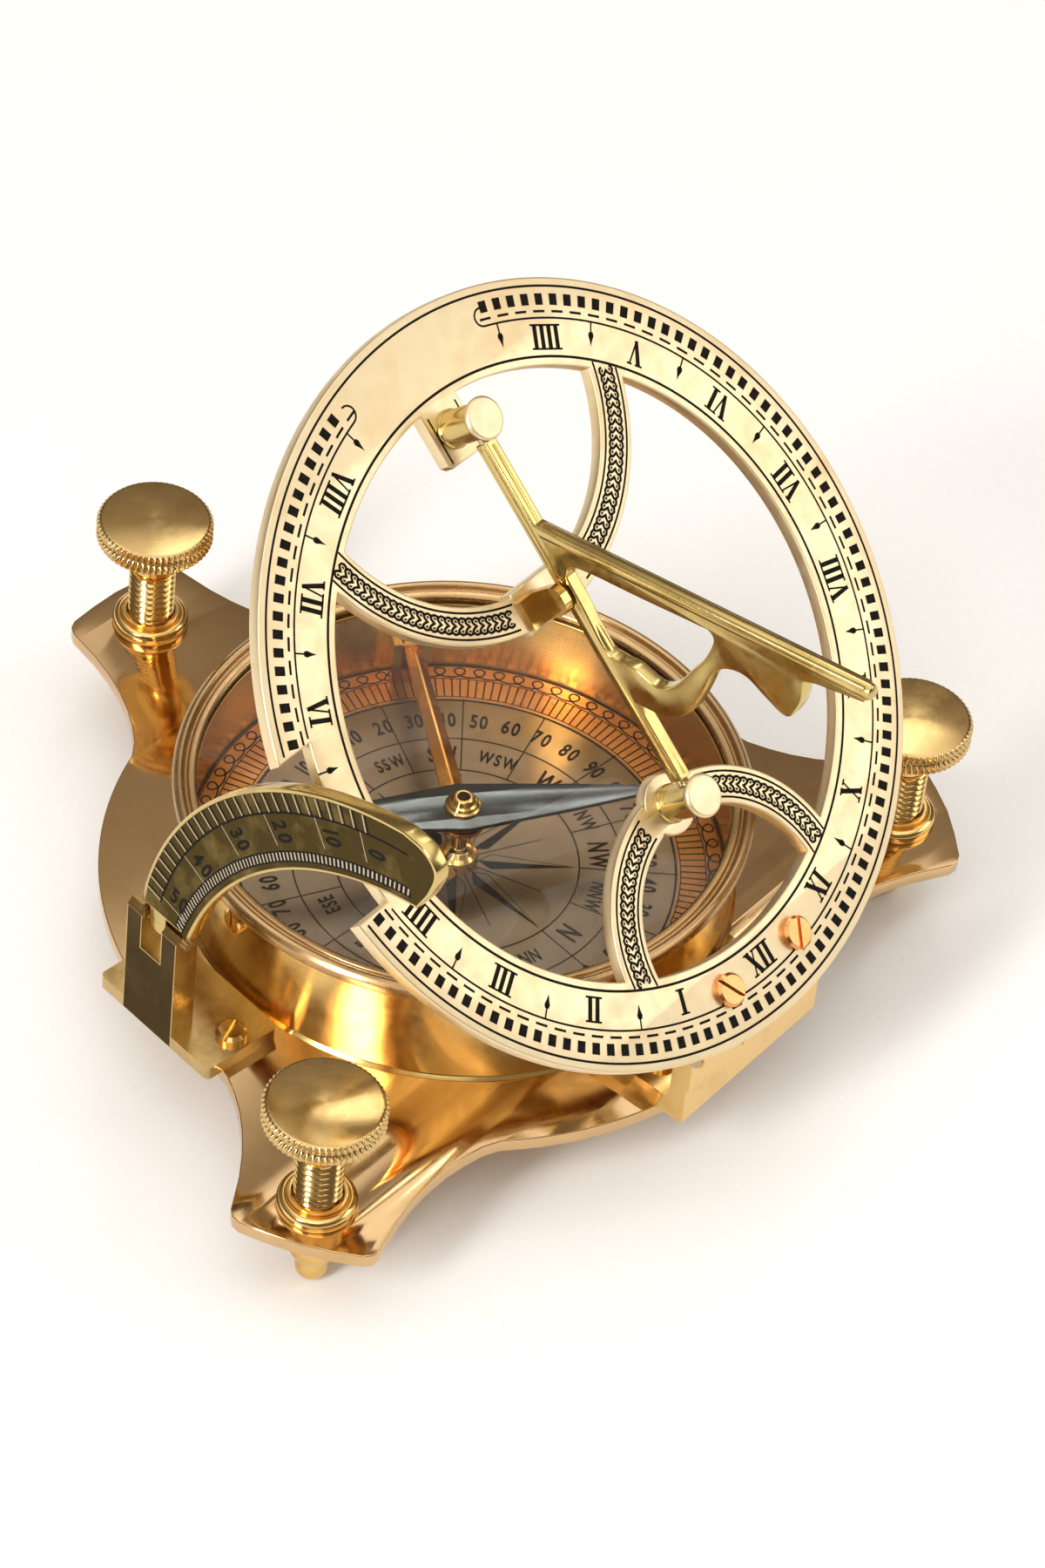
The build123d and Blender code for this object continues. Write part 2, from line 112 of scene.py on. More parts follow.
def around(tree, coords, turns, radial, axial):
    """Coordinates for marks that run round the local Z axis: angle, radius and height, each scaled."""
    split = tree.nodes.new("ShaderNodeSeparateXYZ")
    link(tree, coords, split.inputs[0])

    def calc(operation, a, b=None):
        n = tree.nodes.new("ShaderNodeMath")
        n.operation = operation
        link(tree, a, n.inputs[0])
        if isinstance(b, float):
            n.inputs[1].default_value = b
        elif b is not None:
            link(tree, b, n.inputs[1])
        return n.outputs[0]

    x, y, z = split.outputs
    radius = calc("SQRT", calc("ADD", calc("MULTIPLY", x, x), calc("MULTIPLY", y, y)))
    join = tree.nodes.new("ShaderNodeCombineXYZ")
    link(tree, calc("MULTIPLY", calc("ARCTAN2", y, x), turns), join.inputs[0])
    link(tree, calc("MULTIPLY", radius, radial), join.inputs[1])
    link(tree, calc("MULTIPLY", z, axial), join.inputs[2])
    return join.outputs[0]


def metal(name, base, stain, rough=(0.12, 0.26), grain="fine", bump=0.06, stain_at=(0.52, 0.72),
          speck=0.25, tint=(1.0, 1.0, 1.0)):
    """Metal with stained patches, small specks, uneven gloss and machining or polishing marks."""
    mat, tree, bsdf, where = new_material(name)
    coords = where.outputs["Object"]
    patches = noise(tree, coords, 130.0, 5.0, 0.6)
    specks = noise(tree, coords, 1500.0, 2.0, 0.7)
    colour = mix_colour(tree, spread(tree, patches, stain_at[0], stain_at[1], 0.0, 0.75), base, stain)
    dark = tuple(c * 0.55 for c in stain)
    colour = mix_colour(tree, spread(tree, specks, 0.66, 0.80, 0.0, speck), colour, dark)
    link(tree, colour, bsdf.inputs["Base Color"])
    bsdf.inputs["Metallic"].default_value = 1.0
    bsdf.inputs["Specular Tint"].default_value = (*tint, 1.0)
    if grain == "turned":
        lines = noise(tree, around(tree, coords, 1.2, 7000.0, 7000.0), 1.0, 3.0, 0.6)
    elif grain == "brushed":
        lines = noise(tree, stretched(tree, coords, (300.0, 5000.0, 5000.0)), 1.0, 3.0, 0.6)
    else:
        lines = noise(tree, coords, 2600.0, 3.0, 0.6)
    if grain == "turned":
        bsdf.inputs["Anisotropic"].default_value = 0.75
        bsdf.inputs["Anisotropic Rotation"].default_value = 0.25
    gloss = noise(tree, coords, 420.0, 4.0, 0.6)
    link(tree, spread(tree, gloss, 0.3, 0.7, rough[0], rough[1]), bsdf.inputs["Roughness"])
    relief = tree.nodes.new("ShaderNodeBump")
    relief.inputs["Strength"].default_value = bump
    relief.inputs["Distance"].default_value = 0.00005
    link(tree, lines, relief.inputs["Height"])
    link(tree, relief.outputs[0], bsdf.inputs["Normal"])
    return mat


def paint(name, colour, second, rough):
    """Dull paint or fill in two close shades."""
    mat, tree, bsdf, where = new_material(name)
    fine = noise(tree, where.outputs["Object"], 1800.0, 3.0)
    mixed = mix_colour(tree, spread(tree, fine, 0.35, 0.7, 0.0, 1.0), colour, second)
    link(tree, mixed, bsdf.inputs["Base Color"])
    link(tree, spread(tree, fine, 0.3, 0.7, rough - 0.1, rough + 0.15), bsdf.inputs["Roughness"])
    bsdf.inputs["Specular IOR Level"].default_value = 0.05
    return mat


BRASS = metal("polished_brass", (0.80, 0.54, 0.20), (0.62, 0.36, 0.11), rough=(0.10, 0.22))
TURNED = metal("turned_brass", (0.84, 0.57, 0.20), (0.72, 0.44, 0.13), rough=(0.17, 0.27), grain="turned",
               bump=0.14, stain_at=(0.5, 0.9), speck=0.0)
PLATE = metal("base_brass", (0.64, 0.43, 0.22), (0.54, 0.33, 0.14), rough=(0.05, 0.12), bump=0.03,
              stain_at=(0.5, 0.8), speck=0.1)
SATIN = metal("satin_gold", (0.84, 0.70, 0.45), (0.80, 0.61, 0.34), rough=(0.36, 0.48), bump=0.10,
              stain_at=(0.45, 0.7))
OLIVE = metal("aged_brass", (0.050, 0.035, 0.014), (0.24, 0.17, 0.065), rough=(0.24, 0.40), bump=0.12,
              stain_at=(0.50, 0.70), speck=0.5, tint=(0.92, 0.80, 0.58))
BRACKET_BRASS = metal("bracket_brass", (0.58, 0.41, 0.17), (0.40, 0.26, 0.09), rough=(0.14, 0.30),
                      bump=0.10, stain_at=(0.42, 0.66), speck=0.4)
LUG_TONE = metal("lug_toned", (0.036, 0.024, 0.013), (0.068, 0.046, 0.026), rough=(0.24, 0.40), bump=0.12,
                 stain_at=(0.42, 0.66), speck=0.5, tint=(0.92, 0.78, 0.60))
BEZEL = metal("bezel_brass", (0.56, 0.37, 0.18), (0.46, 0.28, 0.12), rough=(0.22, 0.34), grain="turned",
              bump=0.04, stain_at=(0.5, 0.9), speck=0.0)
GNOMON = metal("gnomon_brass", (0.62, 0.47, 0.18), (0.36, 0.24, 0.07), bump=0.10)
HEAD = metal("head_brass", (0.62, 0.43, 0.18), (0.44, 0.28, 0.10), rough=(0.10, 0.20), grain="turned",
             bump=0.10)
ORANGE = metal("lifter_brass", (0.58, 0.25, 0.06), (0.40, 0.14, 0.03), rough=(0.18, 0.32))
COPPER = metal("screw_copper", (0.70, 0.34, 0.13), (0.50, 0.22, 0.07), rough=(0.16, 0.28))
ANNULUS = metal("dial_rim_brass", (0.50, 0.21, 0.06), (0.34, 0.13, 0.035), rough=(0.24, 0.38),
                grain="turned", bump=0.15)
STEEL = metal("needle_steel", (0.145, 0.15, 0.145), (0.085, 0.082, 0.078), rough=(0.12, 0.22),
              grain="brushed", bump=0.05)
PIN = metal("pin_steel", (0.62, 0.52, 0.36), (0.42, 0.32, 0.20), rough=(0.16, 0.28))
DIAL = metal("silvered_dial", (0.245, 0.175, 0.112), (0.175, 0.113, 0.064), rough=(0.34, 0.48), bump=0.08,
             stain_at=(0.42, 0.7))
INK = paint("black_fill", (0.006, 0.005, 0.005), (0.018, 0.014, 0.010), 0.6)
BROWN_INK = paint("engraved_dark", (0.014, 0.009, 0.006), (0.03, 0.02, 0.012), 0.6)
JEWEL = paint("jewel", (0.02, 0.008, 0.006), (0.05, 0.02, 0.012), 0.12)


def glass_material():
    """Clear glass that lets the rays of the lamps through to the dial."""
    mat, tree, bsdf, where = new_material("clear_glass")
    bsdf.inputs["Base Color"].default_value = (0.97, 0.99, 0.98, 1.0)
    bsdf.inputs["Transmission Weight"].default_value = 1.0
    bsdf.inputs["IOR"].default_value = 1.2
    smear = noise(tree, where.outputs["Object"], 90.0, 4.0)
    link(tree, spread(tree, smear, 0.5, 0.8, 0.0, 0.004), bsdf.inputs["Roughness"])
    clear = tree.nodes.new("ShaderNodeBsdfTransparent")
    rays = tree.nodes.new("ShaderNodeLightPath")
    both = tree.nodes.new("ShaderNodeMixShader")
    link(tree, rays.outputs["Is Shadow Ray"], both.inputs[0])
    link(tree, bsdf.outputs[0], both.inputs[1])
    link(tree, clear.outputs[0], both.inputs[2])
    link(tree, both.outputs[0], tree.nodes["Material Output"].inputs["Surface"])
    return mat


GLASS = glass_material()


# ================ mesh helpers
# WELD is in metres. A frame is upright when the z of its own up axis is past UPRIGHT.
WELD = 1e-7
UPRIGHT = 0.999


def ease_edges(obj, width, angle, harden):
    """Narrow rounded bevel, width in millimetres, on the edges sharper than the angle in degrees."""
    edge = obj.modifiers.new("edge", "BEVEL")
    edge.width = width * MM
    edge.segments = 2
    edge.limit_method = "ANGLE"
    edge.angle_limit = math.radians(angle)
    edge.harden_normals = harden


def add(name, shape, material, body, at=Matrix.Identity(4), bevel=0.0, sharp=35.0, stands_for=()):
    """Mesh object from a shape in millimetres, moved to its place and tied to its CAD body.

    A tilted frame goes into the mesh instead of the object, so that the object's bounds are exact.
    """
    mesh = bpy.data.meshes.new(name)
    mesh.from_pydata([Vector(v) * MM for v in shape.verts], [], shape.faces)
    work = bmesh.new()
    work.from_mesh(mesh)
    bmesh.ops.remove_doubles(work, verts=work.verts, dist=WELD)
    bmesh.ops.recalc_face_normals(work, faces=work.faces)
    work.to_mesh(mesh)
    work.free()
    obj = bpy.data.objects.new(name, mesh)
    bpy.context.scene.collection.objects.link(obj)
    moved = at.copy()
    moved.translation = at.translation * MM
    if at.to_3x3().col[2].z > UPRIGHT:
        obj.matrix_world = moved
    else:
        mesh.transform(moved)
    mesh.materials.append(material)
    mesh.shade_smooth()
    mesh.set_sharp_from_angle(angle=math.radians(sharp))
    if bevel:
        ease_edges(obj, bevel, 30, True)
    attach(obj, body)
    if stands_for:
        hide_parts(*stands_for)


class Shape:
    """Verts and faces gathered in millimetres."""

    def __init__(self):
        self.verts = []
        self.faces = []

    def take(self, verts, faces):
        k = len(self.verts)
        self.verts += [tuple(v) for v in verts]
        self.faces += [[i + k for i in f] for f in faces]

    def take_at(self, at, shape):
        self.take([at @ Vector(v) for v in shape.verts], shape.faces)

    def prism(self, points, z0, z1):
        """Closed prism over a 2D outline."""
        n = len(points)
        verts = [(x, y, z0) for x, y in points] + [(x, y, z1) for x, y in points]
        faces = [list(range(n))[::-1], list(range(n, 2 * n))]
        faces += [[i, (i + 1) % n, n + (i + 1) % n, n + i] for i in range(n)]
        self.take(verts, faces)

    def ribbon(self, points, width, z0, z1, closed=False):
        """Closed strip of constant width along a 2D line."""
        n = len(points)
        left, right = [], []
        for i, (x, y) in enumerate(points):
            if closed:
                a, b = points[i - 1], points[(i + 1) % n]
            else:
                a, b = points[max(i - 1, 0)], points[min(i + 1, n - 1)]
            dx, dy = b[0] - a[0], b[1] - a[1]
            size = math.hypot(dx, dy) or 1.0
            nx, ny = -dy / size * width / 2, dx / size * width / 2
            left.append((x + nx, y + ny))
            right.append((x - nx, y - ny))
        verts = []
        for z in (z0, z1):
            verts += [(x, y, z) for x, y in left] + [(x, y, z) for x, y in right]
        faces = []
        for i in range(n if closed else n - 1):
            j = (i + 1) % n
            faces.append([i, n + i, n + j, j])
            faces.append([2 * n + i, 2 * n + j, 3 * n + j, 3 * n + i])
            faces.append([i, j, 2 * n + j, 2 * n + i])
            faces.append([n + j, n + i, 3 * n + i, 3 * n + j])
        if not closed:
            faces.append([0, 2 * n, 3 * n, n])
            faces.append([n - 1, 2 * n - 1, 4 * n - 1, 3 * n - 1])
        self.take(verts, faces)

    def skin(self, first, rows, count):
        """Faces between rows of points, each row a closed loop of count points from first on."""
        for row in range(rows - 1):
            a, b = first + row * count, first + (row + 1) * count
            for s in range(count):
                t = (s + 1) % count
                self.faces.append([a + s, a + t, b + t, b + s])

    def lathe(self, outline, segments):
        """Turned solid from a closed (r, z) outline. Points with r = 0 lie on the axis."""
        rings = []
        for r, z in outline:
            if r < 1e-6:
                self.verts.append((0, 0, z))
                rings.append([len(self.verts) - 1])
            else:
                k = len(self.verts)
                for s in range(segments):
                    a = 2 * math.pi * s / segments
                    self.verts.append((r * math.cos(a), r * math.sin(a), z))
                rings.append(list(range(k, k + segments)))
        for i, ring in enumerate(rings):
            nxt = rings[(i + 1) % len(rings)]
            if len(ring) == 1 and len(nxt) == 1:
                continue
            for s in range(segments):
                t = (s + 1) % segments
                face = [ring[s % len(ring)], ring[t % len(ring)], nxt[t % len(nxt)], nxt[s % len(nxt)]]
                self.faces.append(list(dict.fromkeys(face)))


def arc(cx, cy, r, a0, a1, step=2.0):
    n = max(2, int(abs(a1 - a0) / step) + 1)
    return [polar(r, a0 + (a1 - a0) * i / n, cx, cy) for i in range(n + 1)]


def soft_outline(outline, radius, steps=3):
    """Rounds the corners of a closed (r, z) outline, apart from those on the axis."""
    result = []
    n = len(outline)
    for i, (x, y) in enumerate(outline):
        ax, ay = outline[i - 1]
        bx, by = outline[(i + 1) % n]
        la, lb = math.hypot(ax - x, ay - y), math.hypot(bx - x, by - y)
        cut = min(radius, la * 0.45, lb * 0.45)
        if x < 1e-6 or cut < 0.01:
            result.append((x, y))
            continue
        pa = (x + (ax - x) / la * cut, y + (ay - y) / la * cut)
        pb = (x + (bx - x) / lb * cut, y + (by - y) / lb * cut)
        for k in range(steps + 1):
            t = k / steps
            u = (1 - t) * (1 - t)
            v = 2 * t * (1 - t)
            w = t * t
            result.append((u * pa[0] + v * x + w * pb[0], u * pa[1] + v * y + w * pb[1]))
    return result


def lathed(outline, soft, segments):
    shape = Shape()
    shape.lathe(soft_outline(outline, soft), segments)
    return shape


def turned(name, outline, material, body, at=Matrix.Identity(4), soft=0.1, segments=192,
           stands_for=()):
    add(name, lathed(outline, soft, segments), material, body, at, stands_for=stands_for)


def mesh_of(curve):
    """Mesh that Blender makes of a curve or a text, which is then deleted."""
    source = bpy.data.objects.new(curve.name + "_outline", curve)
    bpy.context.scene.collection.objects.link(source)
    bpy.context.view_layer.update()
    graph = bpy.context.evaluated_depsgraph_get()
    mesh = bpy.data.meshes.new_from_object(source.evaluated_get(graph))
    bpy.data.objects.remove(source)
    bpy.data.curves.remove(curve)
    return mesh


def plate(name, outlines, z0, z1, material, body, at=Matrix.Identity(4), bevel=0.2,
          stands_for=()):
    """Flat plate with rounded edges from closed 2D outlines: the outside first, then the holes."""
    curve = bpy.data.curves.new(name, "CURVE")
    curve.dimensions = "2D"
    curve.fill_mode = "BOTH"
    for outline in outlines:
        spline = curve.splines.new("POLY")
        spline.points.add(len(outline) - 1)
        for point, (x, y) in zip(spline.points, outline):
            point.co = (x, y, 0, 1)
        spline.use_cyclic_u = True
    curve.extrude = (z1 - z0) / 2 - bevel
    curve.bevel_depth = bevel
    curve.bevel_resolution = 2
    curve.offset = -bevel
    flat = mesh_of(curve)
    shape = Shape()
    verts = [(v.co.x, v.co.y, v.co.z + (z0 + z1) / 2) for v in flat.vertices]
    shape.take(verts, [list(p.vertices) for p in flat.polygons])
    bpy.data.meshes.remove(flat)
    add(name, shape, material, body, at, stands_for=stands_for)


# ================ hour ring
def crossing(c1, r1, c2, r2):
    """Spot with x above 0 where two circles centred on x = 0 cross."""
    y = (r1 * r1 - r2 * r2 + c2 * c2 - c1 * c1) / (2 * (c2 - c1))
    return math.sqrt(r1 * r1 - (y - c1) ** 2), y


def angle_on(cx, cy, x, y):
    return math.degrees(math.atan2(y - cy, x - cx))


# The ring's rim, notch and bore, the circles of its upper and lower arches, and half an arch's width.
RING_R, NOTCH_R, BORE = 49.0, 43.8, 38.0
UP_C, UP_R = 36.8, 26.2
LOW_C, LOW_R = -36.2, 17.2
HALF = 2.4
# The upper and the lower gnomon post on the noon line, and the eye of the lower arch round its post.
POSTS_Y = (34.4, -19.0)
EYE_R = 3.9


def ring_outlines():
    """The notched rim, and the three openings round the two arches."""
    outer = arc(0, 0, RING_R, -172.6, 162.66, 1.5)
    outer += [(-41.3, 14.6)]
    outer += arc(0, 0, NOTCH_R, 160.6, 188.3, 2.0)
    outer += [(-48.59, -6.3)]
    # inside the upper arch, round the tab
    x, y = crossing(0, BORE, UP_C, UP_R - HALF)
    a = angle_on(0, 0, x, y)
    b = angle_on(0, UP_C, x, y)
    tab = math.degrees(math.acos(3.3 / BORE))
    inside_up = arc(0, 0, BORE, a, tab) + [(3.3, 31.0), (2.7, 30.4), (-2.7, 30.4), (-3.3, 31.0)]
    inside_up += arc(0, 0, BORE, 180 - tab, 180 - a)
    inside_up += arc(0, UP_C, UP_R - HALF, -180 - b, -90 - 12.6)
    inside_up += [(-5.2, 14.0), (4.2, 14.0)]
    inside_up += arc(0, UP_C, UP_R - HALF, -90 + 10.2, b)
    # open middle
    x1, y1 = crossing(0, BORE, LOW_C, LOW_R + HALF)
    x2, y2 = crossing(0, BORE, UP_C, UP_R + HALF)
    a1, a2 = angle_on(0, 0, x1, y1), angle_on(0, 0, x2, y2)
    b1, b2 = angle_on(0, LOW_C, x1, y1), angle_on(0, UP_C, x2, y2)
    middle = arc(0, 0, BORE, a1, a2)
    middle += arc(0, UP_C, UP_R + HALF, b2, -90 + 8.4) + [(4.2, 8.2), (-5.2, 8.2)]
    middle += arc(0, UP_C, UP_R + HALF, -90 - 10.5, -180 - b2)
    middle += arc(0, 0, BORE, 180 - a2, 180 - a1)
    middle += arc(0, LOW_C, LOW_R + HALF, 180 - b1, 90 + 10.5)
    middle += arc(0, POSTS_Y[1], EYE_R, 158, 22, 8.0)
    middle += arc(0, LOW_C, LOW_R + HALF, 90 - 10.5, b1)
    # under the lower arch
    x, y = crossing(0, BORE, LOW_C, LOW_R - HALF)
    a = angle_on(0, 0, x, y)
    b = angle_on(0, LOW_C, x, y)
    under = arc(0, 0, BORE, -180 - a, a)
    under += arc(0, LOW_C, LOW_R - HALF, b, 90 - 14.0)
    under += arc(0, POSTS_Y[1], EYE_R, -40, -140, 8.0)
    under += arc(0, LOW_C, LOW_R - HALF, 90 + 14.0, 180 - b)
    return [outer, inside_up, middle, under]


plate("ring_sheet", ring_outlines(), -2.0, 0.0, SATIN, "ring", RING, 0.22,
      stands_for=("hour_ring",))


# ================ filled engraving
# A filled mark's underside and top, from the face that it is cut in.
FACE = (-0.06, 0.018)


def bar(shape, x0, y0, x1, y1, w0, w1, put):
    """Straight stroke whose width changes from w0 to w1."""
    dx, dy = x1 - x0, y1 - y0
    size = math.hypot(dx, dy)
    nx, ny = -dy / size / 2, dx / size / 2
    corners = [(x0 + nx * w0, y0 + ny * w0), (x1 + nx * w1, y1 + ny * w1)]
    corners += [(x1 - nx * w1, y1 - ny * w1), (x0 - nx * w0, y0 - ny * w0)]
    shape.prism([put(*c) for c in corners], *FACE)


def roman(shape, text, put, height):
    """Serif roman numeral, centred on the local origin. put maps local (x, y) to the face."""
    widths = {"I": 0.34, "V": 0.66, "X": 0.66}
    total = sum(widths[c] for c in text)
    x = -total / 2 * height
    h = height / 2
    for c in text:
        w = widths[c] * height
        mid = x + w / 2
        if c == "I":
            strokes = [(mid, -h, mid, h, 0.19, 0.19)]
            serifs = [(mid, -h, 0.42), (mid, h, 0.42)]
        elif c == "V":
            strokes = [(mid - w * 0.32, h, mid + w * 0.04, -h, 0.20, 0.16)]
            strokes += [(mid + w * 0.34, h, mid + w * 0.02, -h, 0.07, 0.08)]
            serifs = [(mid - w * 0.32, h, 0.34), (mid + w * 0.34, h, 0.24)]
        else:
            strokes = [(mid - w * 0.30, h, mid + w * 0.30, -h, 0.20, 0.20)]
            strokes += [(mid + w * 0.30, h, mid - w * 0.30, -h, 0.07, 0.07)]
            serifs = [(mid - w * 0.30, h, 0.32), (mid + w * 0.30, h, 0.26)]
            serifs += [(mid - w * 0.30, -h, 0.26), (mid + w * 0.30, -h, 0.32)]
        for x0, y0, x1, y1, w0, w1 in strokes:
            bar(shape, x0, y0, x1, y1, w0 * height, w1 * height, put)
        for sx, sy, sw in serifs:
            half = sw * height / 2
            inner = sy - math.copysign(0.035 * height, sy)
            bar(shape, sx - half, inner, sx + half, inner, 0.08 * height, 0.08 * height, put)
        x += w


GLYPHS = {}
CAP_HEIGHT = 0.73


def glyph(char):
    """(verts, faces, width) of one character one unit high, 1 unit thick, from Blender's own font."""
    if char not in GLYPHS:
        curve = bpy.data.curves.new("glyph", "FONT")
        curve.body = char
        curve.extrude = 0.5
        curve.resolution_u = 4
        curve.offset = 0.03
        mesh = mesh_of(curve)
        xs = [v.co.x for v in mesh.vertices]
        low, high = min(xs), max(xs)
        verts = [(v.co.x - low, v.co.y / CAP_HEIGHT, v.co.z) for v in mesh.vertices]
        GLYPHS[char] = (verts, [list(p.vertices) for p in mesh.polygons], high - low)
        bpy.data.meshes.remove(mesh)
    return GLYPHS[char]


def lettering(shape, text, put, height, squeeze=0.9, gap=0.14):
    """Sans capitals and digits centred on the local origin."""
    total = sum(glyph(c)[2] for c in text) + gap * (len(text) - 1)
    x = -total / 2
    for c in text:
        verts, faces, width = glyph(c)
        spots = []
        for vx, vy, vz in verts:
            u, v = put((x + vx) * height * squeeze, (vy - 0.5) * height)
            spots.append((u, v, FACE[0] if vz < 0 else FACE[1]))
        shape.take(spots, faces)
        x += width + gap


def on_circle(r, angle, outward=True, cx=0.0, cy=0.0):
    """Maps local (x, y) to a spot on a circle, with the tops of the letters outward or inward."""
    a = math.radians(angle)
    ux, uy = math.cos(a), math.sin(a)
    if outward:
        return lambda x, y: (cx + (r + y) * ux + x * uy, cy + (r + y) * uy - x * ux)
    return lambda x, y: (cx + (r - y) * ux - x * uy, cy + (r - y) * uy + x * ux)


# Hour scale: degrees from hour to hour, the angle of noon, the radii of its lines and rows, the angles
# between which it breaks off at the top, and the arrow's head.
HOUR = 19.0
NOON_ANGLE = -90
OUTER_LINE, BAND_LINE, INNER_LINE = 47.9, 43.9, 39.1
BLOCKS_OUT, BLOCKS_IN, DASHES, NUMERALS = 46.95, 45.5, 44.72, 41.5
BREAK_START, BREAK_END = 74.0, 106.0
ARROW = [(0, 3.15), (-0.18, 2.4), (-0.42, 1.75), (-0.28, 1.3), (0.28, 1.3), (0.42, 1.75), (0.18, 2.4)]


def ring_marks():
    ink = Shape()
    ink.ribbon(arc(0, 0, OUTER_LINE, -180 + 8.3, 161.6, 1.2), 0.30, *FACE)
    ink.ribbon(arc(0, 0, INNER_LINE, 0, 358.8, 1.2), 0.34, *FACE, closed=True)
    ink.ribbon(arc(0, 0, BAND_LINE, -180 + 9.4, BREAK_START, 1.2), 0.26, *FACE)
    ink.ribbon(arc(0, 0, BAND_LINE, BREAK_END, 159.8, 1.2), 0.26, *FACE)
    for side, edge in ((1, BREAK_START), (-1, BREAK_END)):
        hook = []
        for k in range(9):
            t = math.radians(-90 + 22.5 * k)
            hook.append(polar(45.05 + 1.15 * math.sin(t), edge + side * 1.45 * math.cos(t)))
        ink.ribbon(hook, 0.26, *FACE)
    pitch = HOUR / 7
    angle = -171.0
    while angle < 161.3:
        if not BREAK_START < angle < BREAK_END:
            w = pitch * 0.26
            corners = [polar(BLOCKS_OUT, angle - w), polar(BLOCKS_OUT, angle + w)]
            corners += [polar(BLOCKS_IN, angle + w), polar(BLOCKS_IN, angle - w)]
            ink.prism(corners, *FACE)
        angle += pitch
    pitch = HOUR / 5.3
    angle = -170.3
    while angle < 159.8:
        if not BREAK_START + 0.4 < angle < BREAK_END - 0.4:
            ink.ribbon(arc(0, 0, DASHES, angle - 1.1, angle + 1.1, 1.0), 0.32, *FACE)
        angle += pitch
    for k, text in enumerate(["XII", "I", "II", "III", "IIII", "V", "VI", "VII", "VIII"]):
        roman(ink, text, on_circle(NUMERALS, NOON_ANGLE - HOUR * k, False), 3.2)
    for k, text in enumerate(["XI", "X", "IX", "VIII", "VII", "VI", "V", "IIII"]):
        roman(ink, text, on_circle(NUMERALS, NOON_ANGLE + HOUR * (k + 1), False), 3.2)
    for k in range(1, 9):
        for side in (-1, 1):
            put = on_circle(BAND_LINE, NOON_ANGLE + side * (HOUR * k + HOUR / 2), False)
            bar(ink, 0, 0, 0, 2.0, 0.22, 0.22, put)
            ink.prism([put(*p) for p in ARROW], *FACE)
    return ink


# One link of the arches' chain, in pitches along the arc and half widths across it.
LINK = [(-0.52, 0.60), (-0.38, 0.90), (0.02, 1.0), (0.40, 0.82), (0.50, 0.46), (0.20, 0.16)]
LINK += [(-0.16, -0.02), (0.14, -0.16), (0.48, -0.46), (0.40, -0.84), (0.02, -1.0), (-0.38, -0.90)]
LINK += [(-0.52, -0.58)]
LINK_PITCH = 1.02
LINK_HALF_WIDTH = 1.02
LINK_LINE = 0.36


def chain(ink, cx, cy, r, a0, a1):
    """Row of hooked links along an arc."""
    length = abs(math.radians(a1 - a0)) * r
    count = int(length / LINK_PITCH)
    for k in range(count):
        mid = a0 + (a1 - a0) * (k + 0.5) / count
        put = on_circle(r, mid, True, cx, cy)
        ink.ribbon([put(x * LINK_PITCH, y * LINK_HALF_WIDTH) for x, y in LINK], LINK_LINE, *FACE)
        for side in (-1, 1):
            curl = [(-0.20, 0.44 * side), (-0.06, 0.64 * side), (0.12, 0.52 * side)]
            curl = [put(x * LINK_PITCH, y * LINK_HALF_WIDTH) for x, y in curl]
            ink.ribbon(curl, LINK_LINE * 0.7, *FACE)


def arch_marks():
    """Two lines and a chain between them along each side of both arches, and the tab's edges."""
    ink = Shape()
    for cy, r, gap in ((UP_C, UP_R, 13.0), (LOW_C, LOW_R, 16.5)):
        middle = -90 if cy > 0 else 90
        step = gap if cy > 0 else -gap
        turn = -180 if cy > 0 else 180
        for offset in (-1.62, 1.62):
            x, y = crossing(0, 38.9, cy, r + offset)
            a = angle_on(0, cy, x, y)
            ink.ribbon(arc(0, cy, r + offset, a, middle + step, 1.5), 0.28, *FACE)
            ink.ribbon(arc(0, cy, r + offset, middle - step, turn - a, 1.5), 0.28, *FACE)
        x, y = crossing(0, 38.6, cy, r)
        a = angle_on(0, cy, x, y)
        step *= 1.1
        chain(ink, 0, cy, r, a, middle + step)
        chain(ink, 0, cy, r, turn - a, middle - step)
    ink.ribbon([(-2.5, 30.9), (-2.5, 33.6), (-2.5, 37.2)], 0.24, *FACE)
    ink.ribbon([(2.5, 37.2), (2.5, 33.6), (2.5, 30.9)], 0.24, *FACE)
    return ink


add("ring_scale", ring_marks(), INK, "ring", RING)
add("arch_ornament", arch_marks(), INK, "ring", RING)


# ================ base plate
# Half of a lobe's edge, from its waist to its tip, and the radius of the rim between the lobes.
LOBE_SIDE = [(41.9, 18.5), (43.6, 16.6), (46.0, 14.9), (48.6, 13.4), (51.6, 12.1), (55.0, 11.0)]
LOBE_SIDE += [(58.6, 10.2), (62.5, 9.7), (63.8, 9.55), (64.9, 8.95), (65.5, 7.9)]
LOBE_TIP = [(66.0, -4.2), (66.3, 0.0), (66.0, 4.2)]
RIM_R = 45.8
PLATE_TOP = 2.0


def base_outline():
    points = []
    waist = LOBE_SIDE[0]
    sweep = math.degrees(math.atan2(waist[1], waist[0]))
    for k, angle in enumerate(LOBES):
        nxt = LOBES[(k + 1) % 3] + (360 if k == 2 else 0)
        spin = place(0, 0, 0, angle)

        def put(x, y, spin=spin):
            v = spin @ Vector((x, y, 0))
            return (v.x, v.y)

        points += [put(x, -y) for x, y in LOBE_SIDE]
        points += [put(x, y) for x, y in LOBE_TIP]
        points += [put(x, y) for x, y in LOBE_SIDE[::-1]]
        points += arc(0, 0, RIM_R, angle + sweep, nxt - sweep, 1.5)[1:-1]
    return points


